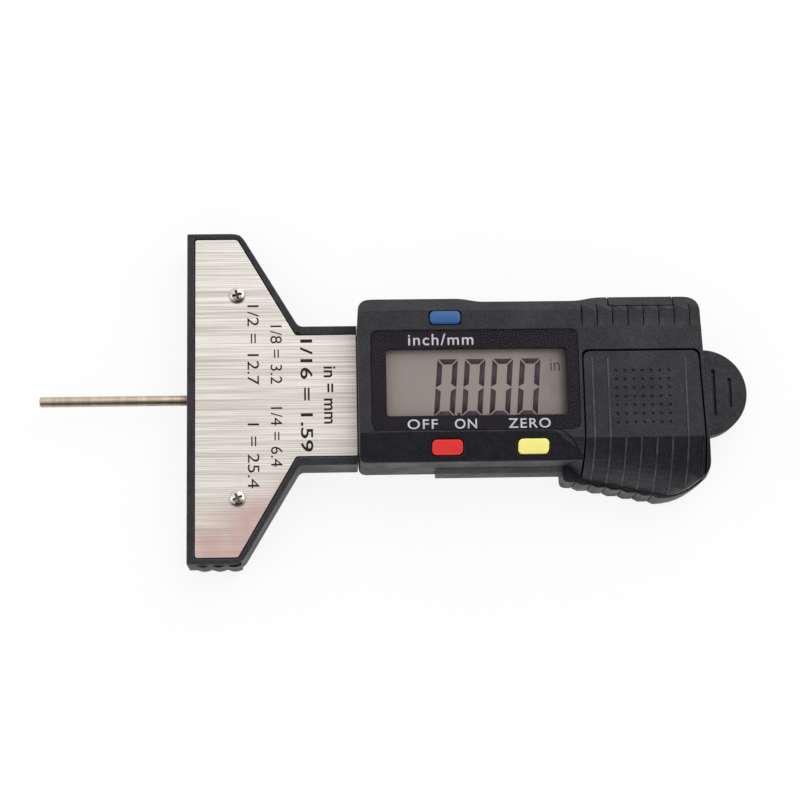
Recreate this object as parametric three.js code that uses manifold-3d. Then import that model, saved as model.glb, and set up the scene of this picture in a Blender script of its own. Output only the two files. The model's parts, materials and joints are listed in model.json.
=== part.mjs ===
// A pocket depth gauge with a T-shaped foot, a sliding probe and a digital display.
// Millimetres, +Z up. The gauge lies on its back: X runs along it with the probe towards -X and the
// thumb tab towards +X, Y runs along the foot, and Z rises from the flat back to the display.
// While it is built, X is 0 at the measuring face. The finished group is then centred on its length.

import * as THREE from 'three';
import { mergeVertices } from 'three/addons/utils/BufferGeometryUtils.js';
import Module from 'manifold-3d';

const wasm = await Module();
wasm.setup();

// Gaps and overruns
const seamGap = 0.1;
const fitGap = 0.15;
const seatGap = 0.3;
const slideGap = 0.1;
const cutOverrun = 1;

// Stroke and probe
const stroke = 25.4;
const probeTipInset = 0.3;
const probeRadius = 0.88;
const probeTipRound = 0.25;
const probeSeatLength = 5.5;

// Foot and neck
const footWidth = 57;
const footAboveRail = 1.7;
const footEndLength = 9.1;
const footCornerRound = 1.5;
const slantLength = 9.8;
const neckLength = 10;
const neckRootRound = 0.8;
const flangeLength = 1.35;
const scallopCount = 3;
const scallopHeight = 0.35;
const scallopFootRise = 0.5;
const scallopTopDrop = 1.5;
const backPocketDepth = 1.2;
const backPocketWall = 2;
const backPocketRound = 1;
const backSpineWidth = 9;
const tenonSideWall = 1.2;
const tenonShoulder = 1.6;
const neckTenonLength = 2.1;

// Name plate and its screws
const plateThickness = 0.5;
const plateSink = 0.1;
const plateFlangeInset = 1.4;
const plateEndInset = 1.1;
const plateNeckInset = 1.55;
const plateSlantInset = 0.55;
const plateCornerRound = 0.4;
const plateBodyGap = 0.25;
const plateScrewFromFace = 8.5;
const plateScrewSpacing = 35;
const plateScrewHeadRadius = 1.15;
const plateScrewHeadHeight = 0.65;
const plateScrewShankRadius = 0.6;
const plateScrewShankLength = 4.2;
const upperScrewTurn = THREE.MathUtils.degToRad(15);
const lowerScrewTurn = THREE.MathUtils.degToRad(25);

// Body outline, seen from the display side
const bodyLength = 59.4;
const bodyTopReach = 15.3;
const waistTopReach = 14.6;
const waistFromBodyStart = 20.3;
const waistBeforeCover = 0.5;
const waistRamp = 2.8;
const waistRound = 1.3;
const headBottomReach = 12.5;
const headCornerRound = 2.4;
const headLowerCornerRound = 1.3;
const rearStepFromBodyStart = 13.1;
const rearStepOut = 0.7;
const gripBeforeCover = 3.2;
const bellyStartOut = 4;
const bellyToothCount = 6;
const bellyToothStep = 0.5;
const bellyToothRamp = 0.5;
const bellyStartRound = 1.1;
const bellyCornerInset = 5.3;
const bellyCornerRound = 3.6;
const gripHeelOut = 3.2;
const gripHeelRound = 1.4;
const gripTopCornerRound = 2.8;
const endSlant = 0.9;
const endDraft = 1.1;

// Body section, seen along its length
const wall = 1.4;
const headBottomWall = 1;
const roofThickness = 1.6;
const backWall = 1.3;
const topChamferRun = 2.6;
const topChamferDrop = 2;
const slopeRun = 4.65;
const ridgeSink = 0.65;
const slopeDrop = 3;
const gripFrontOut = 3.65;
const gripRearOut = 8.3;
const gripBulgeShare = 0.4;
const swellBeforeCover = 8;
const swellAlongShares = [0, 0.4, 0.72, 1];
const swellRidgeShares = [0, 0.5, 0.9, 1];
const swellSideShares = [0, 0.3, 0.66, 1];
const gripArcSteps = 10;

// Grip ribs
const ribEndMargin = 1.15;
const ribCount = 8;
const notchPitchShare = 0.95;
const notchFaceRun = 3.2;
const notchChamferRun = 1.2;
const sideSlotWidth = 0.7;
const sideSlotDepth = 0.5;
const sideSlotMargin = 1;

// Battery cover
const coverTopMargin = 1.68;
const coverEndInset = 1.1;
const coverCornerRound = 1.2;
const coverWall = 1.3;
const coverGap = 0.3;
const coverRibWidth = 0.3;
const coverRibHeight = 0.12;
const coverRibTopInset = 1.2;
const coverRibFromNotch = 1.55;
const dimplePerSide = 7;
const dimplePitch = 1.47;
const dimplesBeforeCell = 0.3;
const dimpleRadius = 0.3;
const dimpleDepth = 0.25;
const dimpleTopInset = 3.4;
const dimpleSides = 8;

// Port cover on the top side
const portFromCoverStart = 4.7;
const portBeforeBodyEnd = 6.3;
const portDepth = 1.8;
const portFootHeight = 9;
const portSlotInset = 1.9;
const portSlotHeight = 1.6;

// Slider and thumb tab
const sliderWidth = 15.1;
const sliderThickness = 3.2;
const sliderBossRise = 0.4;
const channelFloorThickness = 1.6;
const channelFromBodyStart = 3.1;
const sliderBossLength = 7.1;
const railWall = 1.5;
const tabReach = 7.2;
const tabGrooveWidth = 0.55;
const tabGrooveDepth = 0.6;
const tabGrooveOffset = 1.5;
const tabGroovePitch = 2.75;
const tabGrooveLength = 8;
const tabGrooveShortening = 3;
const scaleBeforeBodyEnd = 4.9;
const scaleWidth = 9;
const scaleThickness = 0.3;
const scaleSink = 0.05;
const scaleFromBoss = 2;

// Set screw that holds the probe in the slider
const setScrewRadius = 0.9;
const setScrewFromFront = 3;
const setScrewSlotWidth = 0.35;
const setScrewSlotDepth = 0.35;

// Friction spring under the slider
const springLength = 10;
const springWidth = 3.6;
const springThickness = 0.2;
const springPocketDepth = 0.9;
const springFromChannel = 18;

// Circuit board and what is on it
const boardGap = 0.6;
const boardThickness = 1;
const boardFrontGap = 1;
const boardEdgeGap = 0.5;
const boardCornerNotch = 3.4;
const chipRadius = 3.2;
const chipHeight = 1.3;
const chipAlongShare = 0.473;
const switchSize = 2.6;
const switchHeight = 1;
const switchInset = 0.6;
const plungerRadius = 0.7;
const plungerHeight = 0.3;

// Display
const windowFromBodyStart = 4.6;
const windowBeforeCover = 2.8;
const windowTopInset = 3;
const windowBottomInset = 2.45;
const windowRound = 0.6;
const panelInset = 2.5;
const panelEndGap = 0.9;
const panelTopInset = 6;
const panelRidgeInset = 0.25;
const panelRound = 1.4;
const panelSheetThickness = 0.25;
const panelMaskThickness = 0.15;
const glassOverlap = 0.8;
const glassThickness = 1.1;
const glassRoofGap = 0.2;
const ledgeWidth = 1.4;
const holderWall = 0.9;
const holderEndInset = 2.2;
const reflectorThickness = 0.2;
const zebraWidth = 1.2;

// Buttons
const buttonLength = 5.15;
const buttonTravel = 0.4;
const buttonProud = 0.45;
const buttonRound = 0.7;
const buttonFlange = 0.5;
const buttonFlangeThickness = 0.6;
const firstButtonShare = 0.388;
const secondButtonShare = 0.769;
const topButtonInset = 3.8;
const topButtonWidth = 2.2;
const slopeButtonFromRidge = 2.4;
const slopeButtonWidth = 2.3;
const buttonDish = 0.25;

// Coin cell and its contacts
const cellRadius = 5.8;
const cellThickness = 5.4;
const cellCapInset = 0.7;
const cellCapHeight = 0.4;
const contactBayLength = 2.5;
const cellOffset = 2.3;
const cellPocketGap = 0.3;
const trayFloor = 1.2;
const trayLip = 1.2;
const trayLowWall = 0.8;
const trayEndWall = 3.5;
const trayFlangeOut = 3.6;
const trayFlangeHeight = 1.8;
const contactThickness = 0.2;
const contactWidth = 3;
const contactSpacing = 4.6;
const contactTailLength = 1.6;
const contactLift = 0.4;

// Case screws
const caseScrewHeadRadius = 1.3;
const caseScrewHeadHeight = 1;
const caseScrewShankRadius = 0.7;
const caseScrewShankLength = 6.3;
const caseScrewSink = 2;
const caseBossRadius = 1.5;
const caseColumnRadius = 1.9;
const caseBossHeight = 2.6;
const caseScrewTopInset = 2.8;
const caseScrewFromBodyStart = 4.1;
const caseScrewFromCoverStart = 2.3;
const caseScrewBeforeBodyEnd = 4.3;
const crossSlotWidth = 0.35;
const crossSlotDepth = 0.4;
const crossReachShare = 0.62;

// Facets of the round pieces
const fineSides = 32;
const smallSides = 16;
const arcSegments = 5;
const springSteps = 8;

// Heights that follow from the sizes above, from the back to the display
const channelFloor = backWall + channelFloorThickness;
const sliderBottom = channelFloor + slideGap;
const sliderTop = sliderBottom + sliderThickness;
const bossTop = sliderTop + sliderBossRise;
const probeHeight = sliderBottom + sliderThickness / 2;
const rearTop = sliderTop + slideGap;
const frontBottom = rearTop + seamGap;
const footThickness = rearTop + footAboveRail;
const plateTop = footThickness - plateSink;
const plateBottom = plateTop - plateThickness;
const boardBottom = bossTop + boardGap;
const boardTop = boardBottom + boardThickness;
const pressStart = boardTop + switchHeight + plungerHeight + buttonTravel + seamGap;
const contactHeight = boardTop + contactThickness / 2;
const trayTop = frontBottom + trayFloor;
const cellBottom = trayTop + contactThickness * 2;
const cellTop = cellBottom + cellThickness;
const bodyThickness = cellTop + seatGap + coverWall;
const roofBottom = bodyThickness - roofThickness;
const panelBottom = bodyThickness - panelSheetThickness - panelMaskThickness;
const glassTop = roofBottom - glassRoofGap;
const glassBottom = glassTop - glassThickness;
const holderTop = glassBottom - reflectorThickness;

// Places across the gauge
const footHalf = footWidth / 2;
const sliderHalf = sliderWidth / 2;
const channelHalf = sliderHalf + fitGap;
const railHalf = channelHalf + railWall;
const tenonHalf = railHalf + tenonSideWall;
const neckHalf = tenonHalf + tenonShoulder;
const narrowTopReach = Math.min(bodyTopReach, waistTopReach);
const panelTopReach = bodyTopReach - panelTopInset;
const windowTopReach = panelTopReach - windowTopInset;
const topButtonReach = bodyTopReach - topButtonInset;
const ridgeReach = headBottomReach - slopeRun;
const panelBottomReach = ridgeReach - panelRidgeInset;
const windowBottomReach = panelBottomReach - windowBottomInset;
const slopeButtonReach = ridgeReach + slopeButtonFromRidge;
const gripRidgeReach = cellOffset + cellRadius + cellPocketGap + trayLowWall;
const coverTopReach = cellRadius + cellPocketGap + coverTopMargin - cellOffset;
const trayFlangeReach = gripRidgeReach + trayFlangeOut;
const caseScrewTopReach = bodyTopReach - caseScrewTopInset;
const caseScrewBottomReach = railHalf + caseColumnRadius + seamGap;
const gripSideFront = caseScrewBottomReach + gripFrontOut;
const gripSideRear = caseScrewBottomReach + gripRearOut;
const gripHeelReach = caseScrewBottomReach + gripHeelOut;
const bellyStartReach = caseScrewBottomReach + bellyStartOut;
const bellyReach = bellyStartReach + bellyToothCount * bellyToothStep;
const gripLowReach = bellyReach - seatGap;
const glassLow = -windowBottomReach - glassOverlap - ledgeWidth;
const glassHigh = windowTopReach + glassOverlap;

// Places along the gauge: the grip is as long as the cell needs, and the head takes the rest of the body
const probeReach = stroke - probeTipInset;
const neckRootLength = footEndLength + slantLength;
const bodyStart = neckRootLength + neckLength;
const shoulderAt = bodyStart - fitGap;
const tenonEnd = shoulderAt + neckTenonLength;
const channelStart = bodyStart + channelFromBodyStart;
const sliderFront = channelStart + seatGap;
const headCavityStart = bodyStart + wall;
const bodyEnd = bodyStart + bodyLength;
const coverEnd = bodyEnd - coverEndInset;
const trayEnd = coverEnd - endDraft;
const cellAt = trayEnd - trayEndWall - cellPocketGap - cellRadius;
const coverStart = cellAt - cellRadius - cellPocketGap - contactBayLength - wall;
const headCavityEnd = coverStart - wall;
const gripStart = coverStart - gripBeforeCover;
const swellStart = coverStart - swellBeforeCover;
const waistStart = bodyStart + waistFromBodyStart;
const waistEnd = coverStart - waistBeforeCover;
const rearStepAt = bodyStart + rearStepFromBodyStart;
const gripCavityEnd = bodyEnd - endSlant - endDraft - wall;
const railEnd = gripCavityEnd - fitGap;
const tabCentre = bodyEnd + tabReach - sliderHalf;
const scaleStart = sliderFront + sliderBossLength + scaleFromBoss;
const scaleEnd = bodyEnd - scaleBeforeBodyEnd;
const ribStart = coverStart - fitGap;
const ribPitch = (bodyEnd - ribEndMargin - ribStart) / ribCount;
const notchLength = ribPitch * notchPitchShare;
const portStart = coverStart + portFromCoverStart;
const portEnd = bodyEnd - portBeforeBodyEnd;
const windowStart = bodyStart + windowFromBodyStart;
const windowEnd = coverStart - windowBeforeCover;
const panelStart = windowStart - panelInset;
const panelEnd = coverStart - panelEndGap;
const glassStart = windowStart - glassOverlap;
const glassEnd = windowEnd + glassOverlap;
const holderStart = glassStart + holderEndInset;
const holderEnd = glassEnd - holderEndInset;
const boardStart = headCavityStart + boardFrontGap;
const contactStart = headCavityEnd - boardEdgeGap - contactTailLength;
const firstButtonAt = THREE.MathUtils.lerp(bodyStart, coverStart, firstButtonShare);
const secondButtonAt = THREE.MathUtils.lerp(bodyStart, coverStart, secondButtonShare);
const caseScrewPlaces = [
  [bodyStart + caseScrewFromBodyStart, caseScrewTopReach],
  [bodyEnd - caseScrewBeforeBodyEnd, caseScrewTopReach],
  [coverStart + caseScrewFromCoverStart, -caseScrewBottomReach],
  [bodyEnd - caseScrewBeforeBodyEnd, -caseScrewBottomReach],
];

// Ways to lay an outline or a cylinder along another direction
const xAxis = new THREE.Vector3(1, 0, 0);
const yAxis = new THREE.Vector3(0, 1, 0);
const zAxis = new THREE.Vector3(0, 0, 1);
const zTurnedToX = new THREE.Matrix4().makeBasis(yAxis, zAxis, xAxis);
const yTurnedToZ = new THREE.Matrix4().makeBasis(xAxis, zAxis, yAxis.clone().negate());
const yTurnedToX = new THREE.Matrix4().makeBasis(yAxis, xAxis, zAxis.clone().negate());

// Turns a closed geometry into a solid that can be joined and cut
function solidOf(geometry) {
  geometry.deleteAttribute('normal');
  geometry.deleteAttribute('uv');
  const merged = mergeVertices(geometry);
  return new wasm.Manifold(new wasm.Mesh({
    numProp: 3,
    vertProperties: new Float32Array(merged.attributes.position.array),
    triVerts: new Uint32Array(merged.index.array),
  }));
}

function geometryOf(solid) {
  const found = solid.getMesh();
  const geometry = new THREE.BufferGeometry();
  geometry.setAttribute('position', new THREE.BufferAttribute(found.vertProperties, found.numProp));
  geometry.setIndex(new THREE.BufferAttribute(found.triVerts, 1));
  geometry.computeVertexNormals();
  return geometry;
}

function join(first, ...others) {
  return others.reduce((whole, other) => whole.add(other), first);
}

function cut(whole, ...tools) {
  return tools.reduce((rest, tool) => rest.subtract(tool), whole);
}

// An outline through corners [x, y, round], where round is how far each corner is cut back by a curve
function roundedShape(corners) {
  const shape = new THREE.Shape();
  corners.forEach(([x, y, round = 0], i) => {
    const here = new THREE.Vector2(x, y);
    const [beforeX, beforeY] = corners.at(i - 1);
    const [afterX, afterY] = corners[(i + 1) % corners.length];
    const towardsBefore = new THREE.Vector2(beforeX, beforeY).sub(here).setLength(round);
    const towardsAfter = new THREE.Vector2(afterX, afterY).sub(here).setLength(round);
    const start = here.clone().add(towardsBefore);
    const end = here.clone().add(towardsAfter);
    if (i === 0) {
      shape.moveTo(start.x, start.y);
    } else {
      shape.lineTo(start.x, start.y);
    }
    if (round > 0) {
      shape.quadraticCurveTo(here.x, here.y, end.x, end.y);
    }
  });
  shape.closePath();
  return shape;
}

function rectangle(left, right, low, high, round = 0) {
  return roundedShape([[left, low, round], [right, low, round], [right, high, round], [left, high, round]]);
}

function extruded(shape, depth) {
  return new THREE.ExtrudeGeometry(shape, { depth, bevelEnabled: false, curveSegments: arcSegments });
}

// A plate with an outline in X and Y
function slab(shape, bottom, top) {
  return solidOf(extruded(shape, top - bottom).translate(0, 0, bottom));
}

// A bar along X with an outline in Y and Z
function lengthBar(shape, start, end) {
  return solidOf(extruded(shape, end - start).applyMatrix4(zTurnedToX).translate(start, 0, 0));
}

// A bar along Y with an outline in X and Z
function crossBar(shape, low, high) {
  return solidOf(extruded(shape, high - low).applyMatrix4(yTurnedToZ).translate(0, high, 0));
}

function block(left, right, low, high, bottom, top) {
  const geometry = new THREE.BoxGeometry(right - left, high - low, top - bottom);
  return solidOf(geometry.translate((left + right) / 2, (low + high) / 2, (bottom + top) / 2));
}

function uprightRod(radius, x, y, bottom, top, sides = fineSides) {
  const geometry = new THREE.CylinderGeometry(radius, radius, top - bottom, sides);
  return solidOf(geometry.applyMatrix4(yTurnedToZ).translate(x, y, (bottom + top) / 2));
}

function lengthRod(radius, start, end, y, z, sides = fineSides) {
  const geometry = new THREE.CylinderGeometry(radius, radius, end - start, sides);
  return solidOf(geometry.applyMatrix4(yTurnedToX).translate((start + end) / 2, y, z));
}

// A turned piece about Z, from points [radius, height] that start and end on the axis
function turned(points, sides, x, y) {
  const profile = points.map(([radius, height]) => new THREE.Vector2(radius, height));
  const geometry = new THREE.LatheGeometry(profile, sides);
  return solidOf(geometry.applyMatrix4(yTurnedToZ).translate(x, y, 0));
}

// A skin over rings with equally many points, closed by a flat cap at each end
function loft(rings, flatten) {
  const count = rings[0].length;
  const faces = [];
  for (let ring = 0; ring < rings.length - 1; ring += 1) {
    for (let i = 0; i < count; i += 1) {
      const here = ring * count + i;
      const next = ring * count + (i + 1) % count;
      faces.push([here, next, here + count], [next, next + count, here + count]);
    }
  }
  const lastRing = (rings.length - 1) * count;
  const startCap = THREE.ShapeUtils.triangulateShape(rings[0].map(flatten), []);
  const endCap = THREE.ShapeUtils.triangulateShape(rings.at(-1).map(flatten), []);
  startCap.forEach(([a, b, c]) => faces.push([a, c, b]));
  endCap.forEach(([a, b, c]) => faces.push([a + lastRing, b + lastRing, c + lastRing]));
  const geometry = new THREE.BufferGeometry().setFromPoints(rings.flat());
  geometry.setIndex(faces.flat());
  return solidOf(geometry);
}

// A bent strip of sheet metal: a line of points [x, z] given a thickness, with its width along Y
function sheetStrip(points, thickness, low, high) {
  const line = points.map(([x, z]) => new THREE.Vector2(x, z));
  const sideOf = (distance) => line.map((point, i) => {
    const before = line[Math.max(i - 1, 0)];
    const after = line[Math.min(i + 1, line.length - 1)];
    const along = after.clone().sub(before).normalize();
    return new THREE.Vector2(point.x - along.y * distance, point.y + along.x * distance);
  });
  const outline = [...sideOf(-thickness / 2), ...sideOf(thickness / 2).reverse()];
  return crossBar(new THREE.Shape(outline), low, high);
}

// A list of corners for y above 0, followed by its mirror image below
function mirrored(corners) {
  const below = corners.map(([x, y, round]) => [x, -y, round]).reverse();
  return [...corners, ...below].reverse();
}

// A cross-headed screw with the underside of its head at Z 0 and its shank downwards
function crossScrew(headRadius, headHeight, shankRadius, shankLength, turn) {
  const headShares = [[1, 0], [1, 0.35], [0.86, 0.72], [0.55, 0.95], [0, 1]];
  const dome = headShares.map(([radiusShare, heightShare]) => [
    headRadius * radiusShare, headHeight * heightShare,
  ]);
  const shank = [[0, -shankLength], [shankRadius, -shankLength], [shankRadius, 0]];
  const head = turned([...shank, ...dome], fineSides, 0, 0);
  const slotReach = headRadius * crossReachShare;
  const slots = [0, Math.PI / 2].map((angle) => {
    const slot = new THREE.BoxGeometry(slotReach * 2, crossSlotWidth, crossSlotDepth + cutOverrun);
    slot.translate(0, 0, headHeight - crossSlotDepth + (crossSlotDepth + cutOverrun) / 2);
    return solidOf(slot.rotateZ(angle + turn));
  });
  return cut(head, ...slots);
}

// Corners of the name plate, grown by a distance
function plateCorners(growth) {
  const side = footHalf - plateEndInset + growth;
  const neckSide = neckHalf - plateNeckInset + growth;
  return mirrored([
    [plateFlangeInset - growth, side, plateCornerRound],
    [footEndLength - plateSlantInset + growth, side, plateCornerRound],
    [neckRootLength - plateSlantInset + growth, neckSide, plateCornerRound],
    [bodyStart - plateBodyGap + growth, neckSide],
  ]);
}

// The body's outline: the rear shell steps outwards below the display and has a toothed belly
function rearOutline() {
  const lowSide = headBottomReach + rearStepOut;
  const teeth = [];
  for (let k = 0; k < bellyToothCount; k += 1) {
    const reach = bellyStartReach + k * bellyToothStep;
    const along = gripStart + ribPitch * k;
    teeth.push(k === 0 ? [along, -reach, bellyStartRound] : [along + bellyToothRamp, -reach]);
    teeth.push([along + ribPitch - bellyToothRamp, -reach]);
  }
  const toothEnd = gripStart + ribPitch * bellyToothCount + bellyToothRamp;
  return [
    [bodyStart, -headBottomReach, headLowerCornerRound],
    [rearStepAt, -headBottomReach],
    [rearStepAt, -lowSide],
    [gripStart, -lowSide],
    ...teeth,
    [toothEnd, -bellyReach],
    [bodyEnd - bellyCornerInset, -bellyReach, bellyCornerRound],
    ...outlineEnd(0),
  ];
}

function frontOutline(draft) {
  return [
    [bodyStart, -headBottomReach, headLowerCornerRound],
    [swellStart, -headBottomReach],
    [swellStart, -gripLowReach],
    [bodyEnd - bellyCornerInset - draft, -gripLowReach, bellyCornerRound],
    ...outlineEnd(draft),
  ];
}

// The end with the thumb tab, the top side and the waist, which both shells share
function outlineEnd(draft) {
  return [
    [bodyEnd - draft, -gripHeelReach, gripHeelRound],
    [bodyEnd - endSlant - draft, bodyTopReach, gripTopCornerRound],
    [waistEnd + waistRamp, bodyTopReach, waistRound],
    [waistEnd, waistTopReach, waistRound],
    [waistStart, waistTopReach, waistRound],
    [waistStart - waistRamp, bodyTopReach, waistRound],
    [bodyStart, bodyTopReach, headCornerRound],
  ];
}

// The section of the head with the sloping face that carries two of the buttons
function headSection(inset, bottomInset) {
  const top = bodyThickness - (inset > 0 ? roofThickness : 0);
  return roundedShape([
    [-headBottomReach + bottomInset, channelFloor],
    [bodyTopReach - inset, channelFloor],
    [bodyTopReach - inset, bodyThickness - topChamferDrop - inset],
    [bodyTopReach - topChamferRun - inset / 2, top],
    [-ridgeReach + inset / 2, top],
    [-headBottomReach + bottomInset, bodyThickness - slopeDrop - inset],
  ]);
}

// The grip swells out of the head and widens towards the thumb tab, with a side that bulges a little
function gripBody(inset) {
  const startRidge = ridgeReach - ridgeSink;
  const stations = swellAlongShares.map((alongShare, i) => ({
    x: THREE.MathUtils.lerp(swellStart, coverStart, alongShare),
    ridge: THREE.MathUtils.lerp(startRidge, gripRidgeReach, swellRidgeShares[i]),
    side: THREE.MathUtils.lerp(ridgeReach, gripSideFront, swellSideShares[i]) - inset,
  }));
  stations.push({ x: bodyEnd + cutOverrun, ridge: gripRidgeReach, side: gripSideRear - inset });
  const top = bodyThickness - inset;
  const chamferTop = bodyTopReach - topChamferRun;
  const topReach = bodyTopReach + inset * 2;
  const rings = stations.map(({ x, ridge, side }) => {
    const ring = [
      new THREE.Vector3(x, topReach, channelFloor),
      new THREE.Vector3(x, topReach, bodyThickness - topChamferDrop),
      new THREE.Vector3(x, inset > 0 ? topReach : chamferTop, top),
    ];
    const start = new THREE.Vector3(x, -ridge, top);
    const end = new THREE.Vector3(x, -side, frontBottom);
    const middle = start.clone().lerp(end, 1 / 2);
    const bulge = middle.lerp(new THREE.Vector3(x, -side, top), gripBulgeShare);
    ring.push(...new THREE.QuadraticBezierCurve3(start, bulge, end).getPoints(gripArcSteps));
    ring.push(new THREE.Vector3(x, -side, channelFloor));
    return ring;
  });
  return loft(rings, (point) => new THREE.Vector2(point.y, point.z));
}

// The whole upper body before the covers, the cavities and the grip's notches are cut
function upperBody() {
  const ringAt = (draft, height) => roundedShape(frontOutline(draft)).getPoints(arcSegments)
    .slice(0, -1).map((point) => new THREE.Vector3(point.x, point.y, height));
  const rings = [ringAt(0, frontBottom), ringAt(endDraft, bodyThickness)];
  const plan = loft(rings, (point) => new THREE.Vector2(point.x, point.y));
  const section = join(lengthBar(headSection(0, 0), bodyStart - cutOverrun, coverStart), gripBody(0));
  return plan.intersect(section);
}

// The upper body with the notches and slots of its grip
function notchedBody() {
  const chamferFoot = bodyThickness - topChamferDrop;
  return cut(upperBody(), ...topNotches(), ...sideSlots(frontBottom, chamferFoot));
}

// The notches across the chamfer's upper edge: each starts with a steep wall and ramps out to the next
function topNotches() {
  const ridge = bodyTopReach - topChamferRun;
  const low = ridge - notchFaceRun;
  const high = ridge + notchChamferRun;
  const highFace = bodyThickness - topChamferDrop * notchChamferRun / topChamferRun;
  const share = notchFaceRun / (notchFaceRun + notchChamferRun);
  const floorAtRidge = THREE.MathUtils.lerp(bodyThickness, highFace, share);
  const above = bodyThickness + cutOverrun;
  const ringAt = (x, lift, ridgeHeight) => [
    [low, bodyThickness + lift], [ridge, ridgeHeight], [high, highFace + lift], [high, above], [low, above],
  ].map(([y, z]) => new THREE.Vector3(x, y, z));
  return ribPlaces().map((x) => loft(
    [ringAt(x, 0, floorAtRidge), ringAt(x + notchLength, seamGap, bodyThickness + seamGap)],
    (point) => new THREE.Vector2(point.y, point.z),
  ));
}

// Shallow slots in the top side, below the notches
function sideSlots(low, high) {
  return ribPlaces().map((x) => block(
    x, x + sideSlotWidth, bodyTopReach - sideSlotDepth, bodyTopReach + cutOverrun,
    low + sideSlotMargin, high - sideSlotMargin,
  ));
}

function ribPlaces() {
  return Array.from({ length: ribCount }, (_, k) => ribStart + k * ribPitch);
}

function coverPlan(growth) {
  const far = bodyTopReach + gripSideRear;
  return roundedShape([
    [coverStart - growth, -far],
    [coverEnd + growth, -far],
    [coverEnd - endSlant - endDraft / 2 + growth, coverTopReach + growth, coverCornerRound],
    [coverStart - growth, coverTopReach + growth, coverCornerRound],
  ]);
}

function portZone(growth) {
  return block(
    portStart - growth, portEnd + growth,
    bodyTopReach - portDepth - growth, bodyTopReach + cutOverrun,
    portFootHeight - growth, bodyThickness + cutOverrun,
  );
}

// The two buttons on the sloping face and the one above the display
const buttonPlaces = {
  unit: { x: firstButtonAt, y: topButtonReach, width: topButtonWidth, tint: 0x3f78ad },
  power: { x: firstButtonAt, y: -slopeButtonReach, width: slopeButtonWidth, tint: 0xe3332f },
  zero: { x: secondButtonAt, y: -slopeButtonReach, width: slopeButtonWidth, tint: 0xfdf07f },
};

function buttonPlan({ x, y, width }, growth) {
  const halfLength = buttonLength / 2 + growth;
  const halfWidth = width / 2 + growth;
  return rectangle(x - halfLength, x + halfLength, y - halfWidth, y + halfWidth, buttonRound);
}

function slopeHeight(y) {
  return bodyThickness - slopeDrop * (-y - ridgeReach) / (headBottomReach - ridgeReach);
}

// Foot, neck and slider rail in one moulding
function makeMainFrame() {
  const plan = roundedShape(mirrored([
    [0, footHalf],
    [footEndLength, footHalf, footCornerRound],
    [neckRootLength, neckHalf, neckRootRound],
    [shoulderAt, neckHalf],
    [shoulderAt, tenonHalf],
    [tenonEnd, tenonHalf],
  ]));
  const rail = block(shoulderAt, railEnd, -railHalf, railHalf, backWall, rearTop);
  const scallopPitch = (footEndLength - flangeLength) / scallopCount;
  const scallops = [];
  for (const side of [-1, 1]) {
    for (let k = 0; k < scallopCount; k += 1) {
      const start = flangeLength + k * scallopPitch;
      const bump = new THREE.Shape();
      bump.moveTo(start, side * (footHalf - footCornerRound));
      bump.lineTo(start, side * footHalf);
      bump.quadraticCurveTo(
        start + scallopPitch / 2, side * (footHalf + scallopHeight * 2),
        start + scallopPitch, side * footHalf,
      );
      bump.lineTo(start + scallopPitch, side * (footHalf - footCornerRound));
      bump.closePath();
      scallops.push(slab(bump, scallopFootRise, footThickness - scallopTopDrop));
    }
  }
  const pocketSlantRun = backPocketWall * 2;
  const pockets = [-1, 1].map((side) => {
    const corners = [
      [backPocketWall, side * backSpineWidth / 2, backPocketRound],
      [neckRootLength - pocketSlantRun, side * backSpineWidth / 2, backPocketRound],
      [neckRootLength - pocketSlantRun, side * neckHalf, backPocketRound],
      [footEndLength - backPocketWall, side * (footHalf - backPocketWall), backPocketRound],
      [backPocketWall, side * (footHalf - backPocketWall), backPocketRound],
    ];
    return slab(roundedShape(side > 0 ? corners : corners.reverse()), -cutOverrun, backPocketDepth);
  });
  const recess = slab(roundedShape(plateCorners(fitGap)), plateBottom, footThickness + cutOverrun);
  const channel = block(
    channelStart, railEnd + cutOverrun, -channelHalf, channelHalf, channelFloor, rearTop + cutOverrun,
  );
  const springPocket = block(
    channelStart + springFromChannel - fitGap, channelStart + springFromChannel + springLength + fitGap,
    -springWidth / 2 - fitGap, springWidth / 2 + fitGap,
    channelFloor - springPocketDepth, channelFloor + cutOverrun,
  );
  const tunnel = lengthRod(probeRadius + fitGap, -cutOverrun, channelStart + cutOverrun, 0, probeHeight);
  const holeFoot = plateTop - plateScrewShankLength - seatGap;
  const screwHoles = plateScrewPlaces().map(([x, y]) => uprightRod(
    plateScrewShankRadius + seatGap, x, y, holeFoot, footThickness, smallSides,
  ));
  const columnReliefs = caseScrewPlaces.map(([x, y]) => uprightRod(
    caseColumnRadius + seamGap / 2, x, y, backWall - cutOverrun, rearTop + cutOverrun,
  ));
  const whole = join(slab(plan, 0, footThickness), cut(rail, ...columnReliefs), ...scallops);
  return cut(whole, ...pockets, recess, channel, springPocket, tunnel, ...screwHoles);
}

function plateScrewPlaces() {
  return [[plateScrewFromFace, plateScrewSpacing / 2], [plateScrewFromFace, -plateScrewSpacing / 2]];
}

function makeNamePlate() {
  const holes = plateScrewPlaces().map(([x, y]) => uprightRod(
    plateScrewShankRadius + seatGap, x, y, plateBottom - cutOverrun, plateTop + cutOverrun, smallSides,
  ));
  return cut(slab(roundedShape(plateCorners(0)), plateBottom, plateTop), ...holes);
}

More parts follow.
